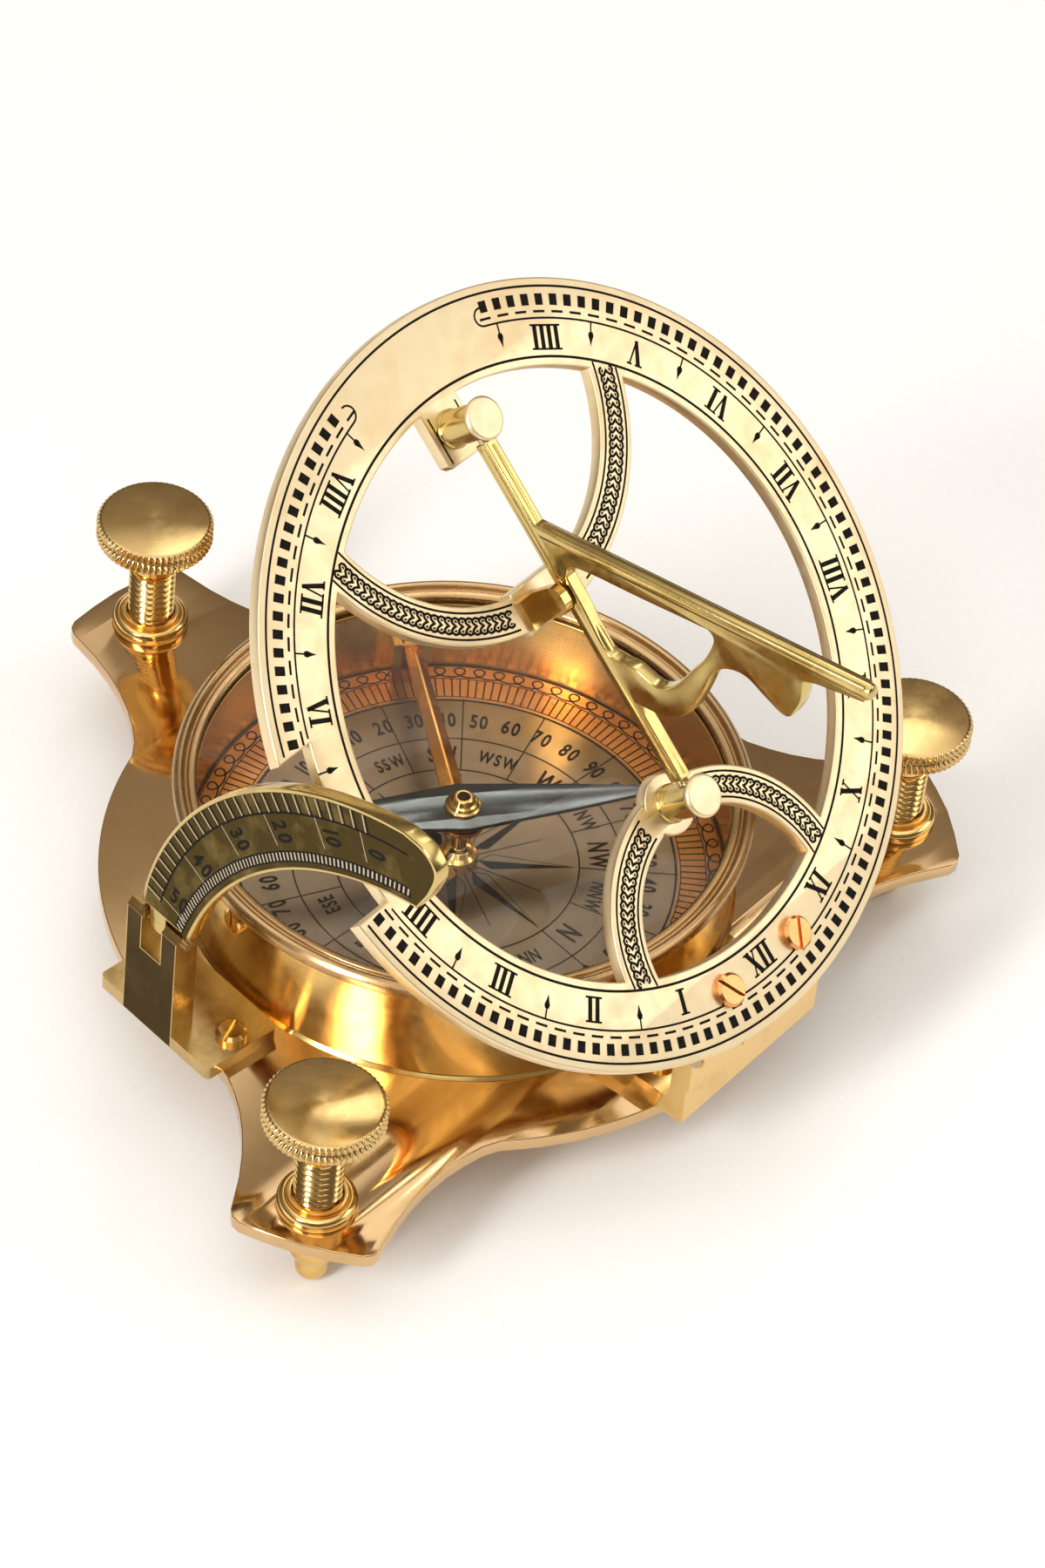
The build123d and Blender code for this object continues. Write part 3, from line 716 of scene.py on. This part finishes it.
holes = [arc(*polar(LEVELLER_R, a), 3.2, 0, 350, 9.0) for a in LOBES]
plate("base_sheet", [base_outline()] + holes, 0.0, PLATE_TOP, PLATE, "base",
      bevel=0.18, stands_for=("base_plate",))


# ================ compass drum
case = [(0, 2.0), (36.1, 2.0), (35.6, 2.5), (35.6, 16.4), (33.8, 16.4), (33.8, 3.7), (0, 3.7)]
turned("case_shell", case, TURNED, "base", soft=0.12, segments=256,
       stands_for=("compass_case",))
bezel = [(34.6, 16.4), (36.5, 16.4), (37.0, 16.9), (37.0, 18.0), (36.5, 18.5), (36.1, 18.6)]
bezel += [(35.7, 18.45), (35.5, 17.8), (35.1, 17.8), (35.0, 18.25), (34.2, 18.15), (33.9, 17.9)]
bezel += [(33.9, 17.4), (34.6, 17.4)]
turned("bezel_ring", bezel, BEZEL, "base", soft=0.2, segments=256,
       stands_for=("case_bezel",))
turned("glass_disc", [(0, 16.4), (34.6, 16.4), (34.6, 17.4), (0, 17.4)], GLASS, "base",
       segments=256, stands_for=("compass_glass",))
dial = [(0, 3.7), (33.6, 3.7), (33.6, DIAL_TOP), (0, DIAL_TOP)]
turned("dial_disc", dial, DIAL, "base", stands_for=("dial_plate",))


# ================ dial engraving
DIAL_SPIN = place(0, 0, DIAL_TOP, BASE_TURN)
# Radii of the circles round the rose, the names and the degrees, and of the two rows of text.
ROSE_R, NAMES_R, DEGREES_R = 15.3, 20.7, 27.4
NAME_ROW, NUMBER_ROW = 18.0, 24.0
# Name heights by their number of letters, and how far the names stand past their spokes, in degrees.
NAME_HEIGHTS = {1: 3.0, 2: 2.6, 3: 2.0}
NAME_SHIFT = 7.5
# The raised rim: its ticks, its outer circle, the line that its loops run along, and its height.
TICKS_IN, TICKS_OUT, LOOPS_OUT = 28.0, 31.2, 33.4
LOOPS_R = 32.3
RIM_STEP = 0.06


def compass_rose():
    ink = Shape()
    for r, width in ((ROSE_R, 0.20), (NAMES_R, 0.20), (DEGREES_R, 0.26)):
        ink.ribbon(arc(0, 0, r, 0, 357.5, 2.5), width, *FACE, closed=True)
    for k in range(16):
        angle = 22.5 * k
        reach = 14.6 if k % 2 == 0 else 11.5
        put = on_circle(0, angle)
        bar(ink, 0, ROSE_R + 0.1, 0, DEGREES_R if k % 2 else TICKS_OUT, 0.17, 0.17, put)
        bar(ink, 0, 2.6, 0, reach, 0.14, 0.12, put)
        if k % 2 == 0:
            ink.prism([put(0, 2.7), put(1.25, 4.2), put(0, reach)], *FACE)
            bar(ink, 0, 2.7, -1.25, 4.2, 0.10, 0.10, put)
            bar(ink, -1.25, 4.2, 0, reach, 0.10, 0.05, put)
    names = ["W", "WSW", "SW", "SSW", "S", "SSE", "SE", "ESE"]
    names += ["E", "ENE", "NE", "NNE", "N", "NNW", "NW", "WNW"]
    for k, name in enumerate(names):
        put = on_circle(NAME_ROW, 22.5 * k + NAME_SHIFT)
        lettering(ink, name, put, NAME_HEIGHTS[len(name)], 0.85)
    for k in range(36):
        number = "%d" % (10 * abs(9 - k % 18))
        lettering(ink, number, on_circle(NUMBER_ROW, 10.0 * k), 2.3)
    return ink


def dial_rim():
    """Ticks and a chain of loops on the raised rim."""
    ink = Shape()
    for r in (TICKS_IN, TICKS_OUT, LOOPS_OUT):
        ink.ribbon(arc(0, 0, r, 0, 357.5, 2.5), 0.14, *FACE, closed=True)
    for k in range(180):
        put = on_circle(0, 2.0 * k)
        bar(ink, 0, TICKS_IN, 0, TICKS_OUT, 0.20, 0.22, put)
    loops, each = 80, 16
    for k in range(loops):
        loop = []
        for i in range(each + 1):
            turn = 2 * math.pi * i / each
            sideways = math.degrees(1.25 * math.cos(turn) / LOOPS_R)
            angle = 360.0 * (k + i / each) / loops + sideways
            loop.append(polar(LOOPS_R + 0.82 * math.sin(turn), angle))
        ink.ribbon(loop, 0.24, *FACE)
    return ink


annulus = [(27.7, DIAL_TOP - 0.1), (33.5, DIAL_TOP - 0.1), (33.5, DIAL_TOP + RIM_STEP)]
annulus += [(27.7, DIAL_TOP + RIM_STEP)]
turned("dial_rim", annulus, ANNULUS, "base", soft=0.05)
add("dial_rose", compass_rose(), BROWN_INK, "base", DIAL_SPIN)
add("dial_rim_marks", dial_rim(), BROWN_INK, "base", DIAL_SPIN @ place(0, 0, RIM_STEP))


# ================ needle, cap, pivot and lifter
NEEDLE = place(0, 0, 13.1, -38.4)
LIFTER = place(0, 0, 10.9, 52.0)
blade = [(27.8, 0), (14.0, 2.2), (0, 4.0), (-14.0, 2.2), (-27.8, 0), (-14.0, -2.2), (0, -4.0), (14.0, -2.2)]
blade_hole = arc(0, 0, 1.92, 0, 350, 12.0)
plate("needle_blade", [blade, blade_hole], 0.0, 0.6, STEEL, "needle", NEEDLE, 0.08,
      stands_for=("compass_needle",))
cap = [(1.15, -0.6), (1.88, -0.6), (1.88, 0.6), (2.3, 0.6), (2.3, 0.95), (2.0, 1.15), (1.85, 1.45)]
cap += [(1.55, 1.7), (1.3, 2.25), (1.1, 2.42), (0.8, 2.42), (0.75, 2.2), (0, 2.2), (0, 1.2), (0.5, 0.9)]
turned("needle_cap_turned", cap, BRASS, "needle", NEEDLE, 0.08, 96,
       stands_for=("needle_cap",))
jewel = [(0, 2.2), (0.72, 2.2), (0.6, 2.42), (0.3, 2.5), (0, 2.5)]
turned("needle_cap_jewel", jewel, JEWEL, "needle", NEEDLE, 0.03, 48)
pivot = [(0, 0), (2.6, 0), (2.6, 0.9), (2.4, 1.3), (1.9, 1.7), (1.5, 2.2), (0.95, 2.5), (0.85, 7.4)]
pivot += [(0.1, 9.6), (0, 9.6)]
turned("pivot_post", pivot, BRASS, "base", place(0, 0, DIAL_TOP), 0.1, 96,
       stands_for=("needle_pivot",))


def keep(names, material, bevel):
    """Packed pieces whose shape is right: eased edges and the shown material."""
    for name in names:
        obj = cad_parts[name]
        if len(obj.data.materials) == 0:
            obj.data.materials.append(material)
        for k in range(len(obj.data.materials)):
            obj.data.materials[k] = material
        if bevel:
            ease_edges(obj, bevel, 40, False)


def lifter_arm():
    """Flat eye round the pivot and a tapering arm with a low ridge."""
    shape = lathed([(1.9, 0), (3.0, 0), (3.0, 0.6), (1.9, 0.6)], 0.1, 64)
    stations = [(2.6, 1.45, 0.62), (4.2, 1.5, 1.15), (28.5, 1.1, 1.15), (31.0, 1.0, 0.9)]
    for r, half, top in stations:
        shape.verts += [(r, -half, 0), (r, half, 0), (r, half, 0.45)]
        shape.verts += [(r, 0.15, top), (r, -0.15, top), (r, -half, 0.45)]
    first = len(shape.verts) - 6 * len(stations)
    shape.skin(first, len(stations), 6)
    shape.faces.append([first + k for k in range(6)])
    last = first + 6 * (len(stations) - 1)
    shape.faces.append([last + k for k in range(6)][::-1])
    barrel = Shape()
    barrel.lathe([(0.45, -1.0), (0.9, -1.0), (0.9, 1.0), (0.45, 1.0)], 32)
    lying = Matrix.Rotation(math.radians(90), 4, "X")
    shape.take_at(Matrix.Translation((31.4, 0, 0.3)) @ lying, barrel)
    return shape


add("lifter_arm", lifter_arm(), ORANGE, "lifter", LIFTER, bevel=0.06, sharp=30.0,
    stands_for=("needle_lifter",))
keep(["lifter_mount", "case_screw"], BRASS, 0.0)
keep(["hinge_bracket", "ring_hinge_leaf", "gnomon_stop"], BRASS, 0.12)
keep(["latitude_bracket"], BRACKET_BRASS, 0.12)
keep(["hinge_bracket_screws", "latitude_bracket_screws"], BRASS, 0.0)
keep(["ring_leaf_screws"], COPPER, 0.0)
keep(["hinge_pin", "gnomon_pins", "arc_pin"], PIN, 0.0)


# ================ levelling screws
THREAD_R = 3.1
THREAD_FOOT, THREAD_END = -3.2, 12.0
THREAD_PITCH = 1.0
GROOVE = 0.42
HEAD_FOOT, HEAD_TOP = 17.1, 20.5


def knurled_head():
    """Head with two rows of rounded teeth and a groove between them.

    Each level is a radius, a height, and how deep the gaps between the teeth are there, from 0 to 1.
    """
    teeth, each = 60, 6
    levels = [(4.4, HEAD_FOOT, 0), (7.0, 17.12, 0), (7.35, 17.3, 0.2), (7.66, 17.6, 1), (7.70, 18.0, 1)]
    levels += [(7.62, 18.35, 1), (7.2, 18.6, 0.15), (7.05, 18.8, 0), (7.2, 19.0, 0.15), (7.62, 19.25, 1)]
    levels += [(7.70, 19.6, 1), (7.66, 20.0, 1), (7.35, 20.3, 0.2), (7.1, 20.45, 0), (6.9, HEAD_TOP, 0)]
    shape = Shape()
    count = teeth * each
    for r, z, deep in levels:
        for s in range(count):
            cut = GROOVE * deep * (0.5 - 0.5 * math.cos(2 * math.pi * s / each))
            shape.verts.append((*polar(r - cut, 360.0 * s / count), z))
    shape.skin(0, len(levels), count)
    low, high = len(shape.verts), len(shape.verts) + 1
    shape.verts += [(0, 0, HEAD_FOOT), (0, 0, HEAD_TOP)]
    top = (len(levels) - 1) * count
    for s in range(count):
        t = (s + 1) % count
        shape.faces.append([low, t, s])
        shape.faces.append([high, top + s, top + t])
    return shape


def threaded_stem():
    """Turned neck above a fine screw thread, ending in the spigot that carries the foot."""
    shape = Shape()
    count = 48
    levels = [(1.5, -5.4), (1.5, THREAD_FOOT)]
    z = THREAD_FOOT
    while z < THREAD_END:
        levels.append((THREAD_R, z))
        z += THREAD_PITCH / 8
    levels += [(2.75, THREAD_END), (2.75, 12.6), (3.1, 12.7), (3.1, 14.6), (2.6, 14.8), (2.6, 15.4)]
    levels += [(3.1, 15.6), (3.1, 16.2), (3.6, 16.6), (4.4, HEAD_FOOT)]
    for r, z in levels:
        for s in range(count):
            cut = 0.0
            if r == THREAD_R and THREAD_FOOT + 0.1 < z < THREAD_END:
                turn = (z + s / count) % THREAD_PITCH
                cut = GROOVE * abs(2 * turn - 1)
            shape.verts.append((*polar(r - cut, 360.0 * s / count), z))
    shape.skin(0, len(levels), count)
    last = (len(levels) - 1) * count
    shape.faces.append(list(range(count))[::-1])
    shape.faces.append([last + s for s in range(count)])
    return shape


FOOT = [(0, -5.8), (1.55, -5.8), (1.55, -3.3), (3.1, -3.3), (3.1, -6.0), (2.9, -6.5), (2.7, -7.0)]
FOOT += [(2.2, -7.5), (1.9, -7.9), (2.05, -8.6), (2.1, -9.4), (1.95, -10.2), (1.5, -10.9), (0.8, -11.35)]
FOOT += [(0, -11.5)]
COLLAR = [(3.2, 0), (5.0, 0), (5.0, 1.0), (4.75, 1.5), (4.3, 1.8), (4.0, 1.75), (3.9, 1.5), (3.8, 1.6)]
COLLAR += [(3.8, 2.25), (3.7, 2.3), (3.2, 2.3)]
head, stem, collars = knurled_head(), threaded_stem(), Shape()
for k, angle in enumerate(LOBES, start=1):
    spot = place(*polar(LEVELLER_R, angle))
    add("screw_head_%d" % k, head, HEAD, "leveller_%d" % k, spot,
        stands_for=("levelling_screw_%d" % k,))
    add("screw_stem_%d" % k, stem, BRASS, "leveller_%d" % k, spot)
    turned("screw_foot_%d" % k, FOOT, BRASS, "foot_%d" % k, spot, 0.1, 96,
           stands_for=("levelling_foot_%d" % k,))
    collars.take_at(spot @ place(0, 0, PLATE_TOP), lathed(COLLAR, 0.12, 128))
add("collar_rings", collars, BRASS, "base", stands_for=("levelling_collars",))


# ================ gnomon
def smooth_line(points, steps=8):
    """Catmull-Rom curve through 2D points."""
    result = [points[0]]
    for i in range(len(points) - 1):
        p1, p2 = points[i], points[i + 1]
        p0 = points[i - 1] if i else (2 * p1[0] - p2[0], 2 * p1[1] - p2[1])
        p3 = points[i + 2] if i + 2 < len(points) else (2 * p2[0] - p1[0], 2 * p2[1] - p1[1])
        for k in range(1, steps + 1):
            t = k / steps
            spot = []
            for a, b, c, d in zip(p0, p1, p2, p3):
                square = 2 * a - 5 * b + 4 * c - d
                cube = 3 * b - a - 3 * c + d
                spot.append(0.5 * (2 * b + (c - a) * t + square * t * t + cube * t ** 3))
            result.append(tuple(spot))
    return result


def tube(shape, start, end, radius, count=24):
    """Round bar between two points of the noon plane, with rounded ends."""
    a, b = Vector((*start, 0)), Vector((*end, 0))
    along = (b - a).normalized()
    side = Vector((0, 0, 1))
    up = side.cross(along)
    stations = [(a, 0.55), (a + along * 0.25, 0.9), (a + along * 0.6, 1.0)]
    stations += [(b - along * 0.6, 1.0), (b - along * 0.25, 0.9), (b, 0.55)]
    base = len(shape.verts)
    for centre, size in stations:
        for s in range(count):
            t = 2 * math.pi * s / count
            shape.verts.append(tuple(centre + (side * math.cos(t) + up * math.sin(t)) * radius * size))
    shape.skin(base, len(stations), count)
    shape.faces.append([base + s for s in range(count)][::-1])
    shape.faces.append([base + (len(stations) - 1) * count + s for s in range(count)])


# Noon plane: x runs along the noon line of the ring, y stands off its face and z is across the blade.
NOON = RING @ Matrix(((0, 0, 1, 0), (1, 0, 0, 0), (0, 1, 0, 0), (0, 0, 0, 1)))
BLADE_HALF = 0.95
STYLE_R = 1.08
edge = [(-16.2, 3.35), (31.6, 3.35), (31.6, 5.45), (20.1, 5.45), (-10.6, 44.4), (-12.0, 43.9)]
edge += [(-12.3, 43.0), (-8.6, 37.0)]
scroll = [(-8.0, 35.4), (-9.9, 33.6), (-10.9, 32.0), (-11.7, 29.9), (-11.0, 28.7), (-8.5, 27.6)]
scroll += [(-5.4, 26.3), (-3.9, 23.8), (-4.2, 21.2), (-6.4, 17.2), (-8.1, 13.2), (-7.6, 9.0), (-5.2, 5.5)]
window = [(12.6, 5.9), (8.4, 5.7), (2.8, 5.3), (0.9, 6.3), (-0.7, 8.5), (-3.7, 10.5), (-4.1, 13.6)]
window += [(-2.7, 18.5), (-1.8, 21.5), (-0.2, 24.3), (1.2, 24.6), (2.4, 23.2), (7.8, 16.0), (12.2, 10.3)]
window += [(13.6, 7.6), (12.6, 5.9)]
web = [edge + smooth_line(scroll) + [(-16.2, 5.45)], smooth_line(window)[:-1]]
plate("gnomon_web", web, -BLADE_HALF, BLADE_HALF, GNOMON, "gnomon", NOON, 0.22,
      stands_for=("gnomon_blade",))
style = Shape()
tube(style, (-11.9, 44.5), (19.2, 5.3), STYLE_R)
tube(style, (-16.2, 4.4), (31.6, 4.4), STYLE_R)
add("gnomon_style", style, GNOMON, "gnomon", NOON)
post = [(0, -2.0), (1.58, -2.0), (1.58, 0.0), (2.5, 0.0), (2.5, 0.5), (2.3, 0.7), (2.3, 5.6), (2.5, 5.9)]
post += [(2.65, 6.05), (2.65, 6.3), (0, 6.3)]
disc = [(0, 6.2), (2.7, 6.2), (2.75, 6.35), (2.75, 6.6), (2.55, 6.85), (2.4, 6.9), (0, 6.9)]
posts, discs = Shape(), Shape()
for y in POSTS_Y:
    posts.take_at(place(0, y), lathed(post, 0.12, 96))
    discs.take_at(place(0, y), lathed(disc, 0.08, 96))
add("post_pair", posts, GNOMON, "ring", RING, stands_for=("gnomon_posts",))
add("post_discs", discs, SATIN, "ring", RING)


# ================ latitude arc
# The arc's marked face: x runs towards the ring's hinge, y up and z away from the drum.
ARC_FACE = BRACKET @ Matrix(((0, 0, -1, 0.8), (-1, 0, 0, 0), (0, 1, 0, 0), (0, 0, 0, 1)))
# Centre and radius of the outer and the inner circle, where they meet the nose, and the root's height.
OUT_X, OUT_Z, OUT_R = 54.0, 13.2, 57.8
IN_X, IN_Z, IN_R = 57.0, 7.9, 53.1
OUT_END, IN_END = 40.2, 43.4
ROOT = 22.1


def on_arc(centre_x, centre_z, radius, x):
    """Height of the upper half of a circle at x."""
    return centre_z + math.sqrt(radius * radius - (x - centre_x) ** 2)


def arc_angle(cx, cz, r, x):
    return math.degrees(math.atan2(on_arc(cx, cz, r, x) - cz, x - cx))


def arc_band(inset, first, last):
    """Outer edge, nose and inner edge of the arc, drawn in from its rim by an inset."""
    outer, inner = OUT_R - inset, IN_R + inset
    start = arc_angle(OUT_X, OUT_Z, outer, first)
    line = arc(OUT_X, OUT_Z, outer, start, arc_angle(OUT_X, OUT_Z, outer, OUT_END), 1.5)
    nose = [(OUT_END, on_arc(OUT_X, OUT_Z, outer, OUT_END)), (43.9 - inset * 0.7, 69.1 - inset)]
    nose += [(46.1 - inset, 66.8), (45.4 - inset * 0.8, 63.2 + inset * 0.3)]
    nose += [(IN_END, on_arc(IN_X, IN_Z, inner, IN_END))]
    line += smooth_line(nose)[1:]
    start = arc_angle(IN_X, IN_Z, inner, IN_END)
    line += arc(IN_X, IN_Z, inner, start, arc_angle(IN_X, IN_Z, inner, last), 1.5)[1:]
    return line


root = [(4.6, ROOT), (1.5, ROOT), (1.5, 19.6), (1.2, 18.9), (0.6, 18.62), (-0.6, 18.62), (-1.2, 18.9)]
root += [(-1.5, 19.6), (-1.5, ROOT), (-3.0, ROOT)]
plate("arc_plate", [arc_band(0.0, -2.6, 5.8) + root], -2.0, -0.02, GNOMON, "latitude",
      ARC_FACE, 0.25, stands_for=("latitude_arc",))
tone = Shape()
tone.prism(arc_band(0.45, -1.9, 5.2) + [(4.4, 22.5), (-2.3, 22.5)], -0.06, 0.0)
add("arc_toned_face", tone, OLIVE, "latitude", ARC_FACE)

# Latitude scale: the line under its ticks, the angle of its zero, and the angles of its figures.
SCALE_R = OUT_R - 3.1
ZERO_ANGLE = 110.6
TICK_STEP = 54.5 / 25
FIGURES = {"0": ZERO_ANGLE, "10": 119.5, "20": 130.6, "30": 141.5, "40": 154.0, "50": 165.1}
# The fine band: its middle line, its ends in degrees, and its number of strokes.
FINE_R = IN_R + 1.9
FINE_START, FINE_END = 105.5, 164.5
FINE_STROKES = 72


def arc_marks():
    """Dark filling and bright cut lines of the latitude scale."""
    dark, bright = Shape(), Shape()
    dark.ribbon(arc(OUT_X, OUT_Z, SCALE_R, 168.0, 103.5, 1.5), 0.30, *FACE)
    for k in range(30):
        angle = ZERO_ANGLE + TICK_STEP * k
        if angle < 168.5:
            put = on_circle(SCALE_R, angle, True, OUT_X, OUT_Z)
            bar(dark, 0, 0, 0, 2.6, 0.26, 0.26, put)
            bar(bright, -0.45, 0.1, -0.45, 2.55, 0.22, 0.22, put)
    for text, angle in FIGURES.items():
        a = math.radians(angle)
        ux, uy = math.cos(a), math.sin(a)
        shift = 0.9

        def put(x, y, ux=ux, uy=uy):
            r = OUT_R - 5.6 - x
            return (OUT_X + r * ux + (y + shift) * uy, OUT_Z + r * uy - (y + shift) * ux)

        lettering(dark, text, put, 2.9, 0.85, 0.2)
        line = on_circle(SCALE_R, angle + 1.6, True, OUT_X, OUT_Z)
        bar(bright, 0, 0, 0, -4.2, 0.12, 0.12, line)
    dark.ribbon(arc(IN_X, IN_Z, FINE_R, FINE_END, FINE_START, 1.5), 1.5, FACE[0], 0.008)
    for k in range(FINE_STROKES):
        angle = FINE_START + (FINE_END - FINE_START) * (k + 0.5) / FINE_STROKES
        put = on_circle(FINE_R, angle, True, IN_X, IN_Z)
        bar(bright, -0.18, -0.52, 0.18, 0.52, 0.26, 0.26, put)
    return dark, bright


dark_marks, bright_marks = arc_marks()
add("arc_scale", dark_marks, INK, "latitude", ARC_FACE)
add("arc_fine_lines", bright_marks, PIN, "latitude", ARC_FACE)
LUG_FACE = BRACKET @ Matrix(((0, 0, -1, 0), (-1, 0, 0, 0), (0, 1, 0, 0), (0, 0, 0, 1)))
lug = [(-4.4, 2.1), (4.4, 2.1), (4.4, 20.5), (2.0, 20.5), (2.0, 14.8), (-2.0, 14.8), (-2.0, 20.5)]
lug += [(-4.4, 20.5)]
tone = Shape()
tone.prism(lug, -0.04, 0.012)
add("lug_toned_face", tone, LUG_TONE, "base", LUG_FACE)


# ================ stage, light and camera
# The floor lies just under the tips of the feet. From here on, lengths are metres.
FLOOR_Z = -0.01152
FLOOR_HALF = 3
corners = [(-FLOOR_HALF, -FLOOR_HALF), (FLOOR_HALF, -FLOOR_HALF), (FLOOR_HALF, FLOOR_HALF)]
corners += [(-FLOOR_HALF, FLOOR_HALF)]
floor_mesh = bpy.data.meshes.new("floor")
floor_mesh.from_pydata([(x, y, FLOOR_Z) for x, y in corners], [], [(0, 1, 2, 3)])
floor = bpy.data.objects.new("floor", floor_mesh)
bpy.context.scene.collection.objects.link(floor)
floor_mesh.materials.append(paint("floor_white", (0.92, 0.92, 0.92), (0.90, 0.90, 0.90), 0.7))

# Sky: colours by height, from the horizon and all below it at 0 to straight up at 1.
SKY = [(0.0, (0.10, 0.08, 0.06)), (0.45, (0.20, 0.16, 0.13)), (0.72, (0.44, 0.38, 0.31))]
SKY += [(0.86, (1.5, 1.46, 1.40)), (1.0, (1.5, 1.46, 1.40))]
world = bpy.context.scene.world or bpy.data.worlds.new("studio")
bpy.context.scene.world = world
world.use_nodes = True
tree = world.node_tree
back = tree.nodes["Background"]
where = tree.nodes.new("ShaderNodeTexCoord")
split = tree.nodes.new("ShaderNodeSeparateXYZ")
link(tree, where.outputs["Generated"], split.inputs[0])
ramp = tree.nodes.new("ShaderNodeValToRGB")
link(tree, split.outputs["Z"], ramp.inputs[0])
steps = ramp.color_ramp.elements
for k in (0, -1):
    steps[k].position = SKY[k][0]
    steps[k].color = (*SKY[k][1], 1)
for position, colour in SKY[1:-1]:
    steps.new(position).color = (*colour, 1)
link(tree, ramp.outputs[0], back.inputs[0])
back.inputs[1].default_value = 1.0
bpy.context.scene.view_settings.view_transform = "Standard"
LAMP_COLOUR = (1.0, 0.98, 0.95)


def softbox(name, spot, aim, size, watts):
    """Rectangular lamp that looks from its spot at its aim."""
    data = bpy.data.lights.new(name, "AREA")
    data.shape = "RECTANGLE"
    data.size, data.size_y = size
    data.energy = watts
    data.color = LAMP_COLOUR
    obj = bpy.data.objects.new(name, data)
    bpy.context.scene.collection.objects.link(obj)
    obj.location = spot
    obj.rotation_euler = (Vector(aim) - Vector(spot)).to_track_quat("-Z", "Y").to_euler()


softbox("ring_light", (0.52, -0.62, 0.42), (0, -0.02, 0.05), (0.6, 0.5), 2.0)
softbox("plate_light", (0.62, 0.33, 0.9), (0.62, 0.33, 0), (0.45, 0.2), 0.6)
softbox("left", (-0.8, 0.02, 0.5), (0, 0, 0.03), (0.16, 0.5), 6.0)
softbox("near_side", (-0.66, -0.46, 0.84), (0, 0, 0), (0.5, 0.5), 1.0)

# The camera stands where the photograph was taken from: its spot in metres, and the directions that
# point right and up in the picture.
CAMERA_SPOT = (-0.435059, -0.312474, 0.561798)
CAMERA_RIGHT = Vector((0.636197, -0.767216, 0.081447))
CAMERA_UP = Vector((0.513301, 0.499713, 0.697717))
SENSOR_WIDTH, FOCAL_LENGTH = 36.0, 208.1
camera_data = bpy.data.cameras.new("camera")
camera_data.sensor_fit = "HORIZONTAL"
camera_data.sensor_width = SENSOR_WIDTH
camera_data.lens = FOCAL_LENGTH
camera_data.clip_start = 0.01
camera_data.clip_end = 10.0
camera = bpy.data.objects.new("camera", camera_data)
bpy.context.scene.collection.objects.link(camera)
facing = Matrix((CAMERA_RIGHT, CAMERA_UP, CAMERA_RIGHT.cross(CAMERA_UP))).transposed()
camera.matrix_world = Matrix.Translation(CAMERA_SPOT) @ facing.to_4x4()
bpy.context.scene.camera = camera
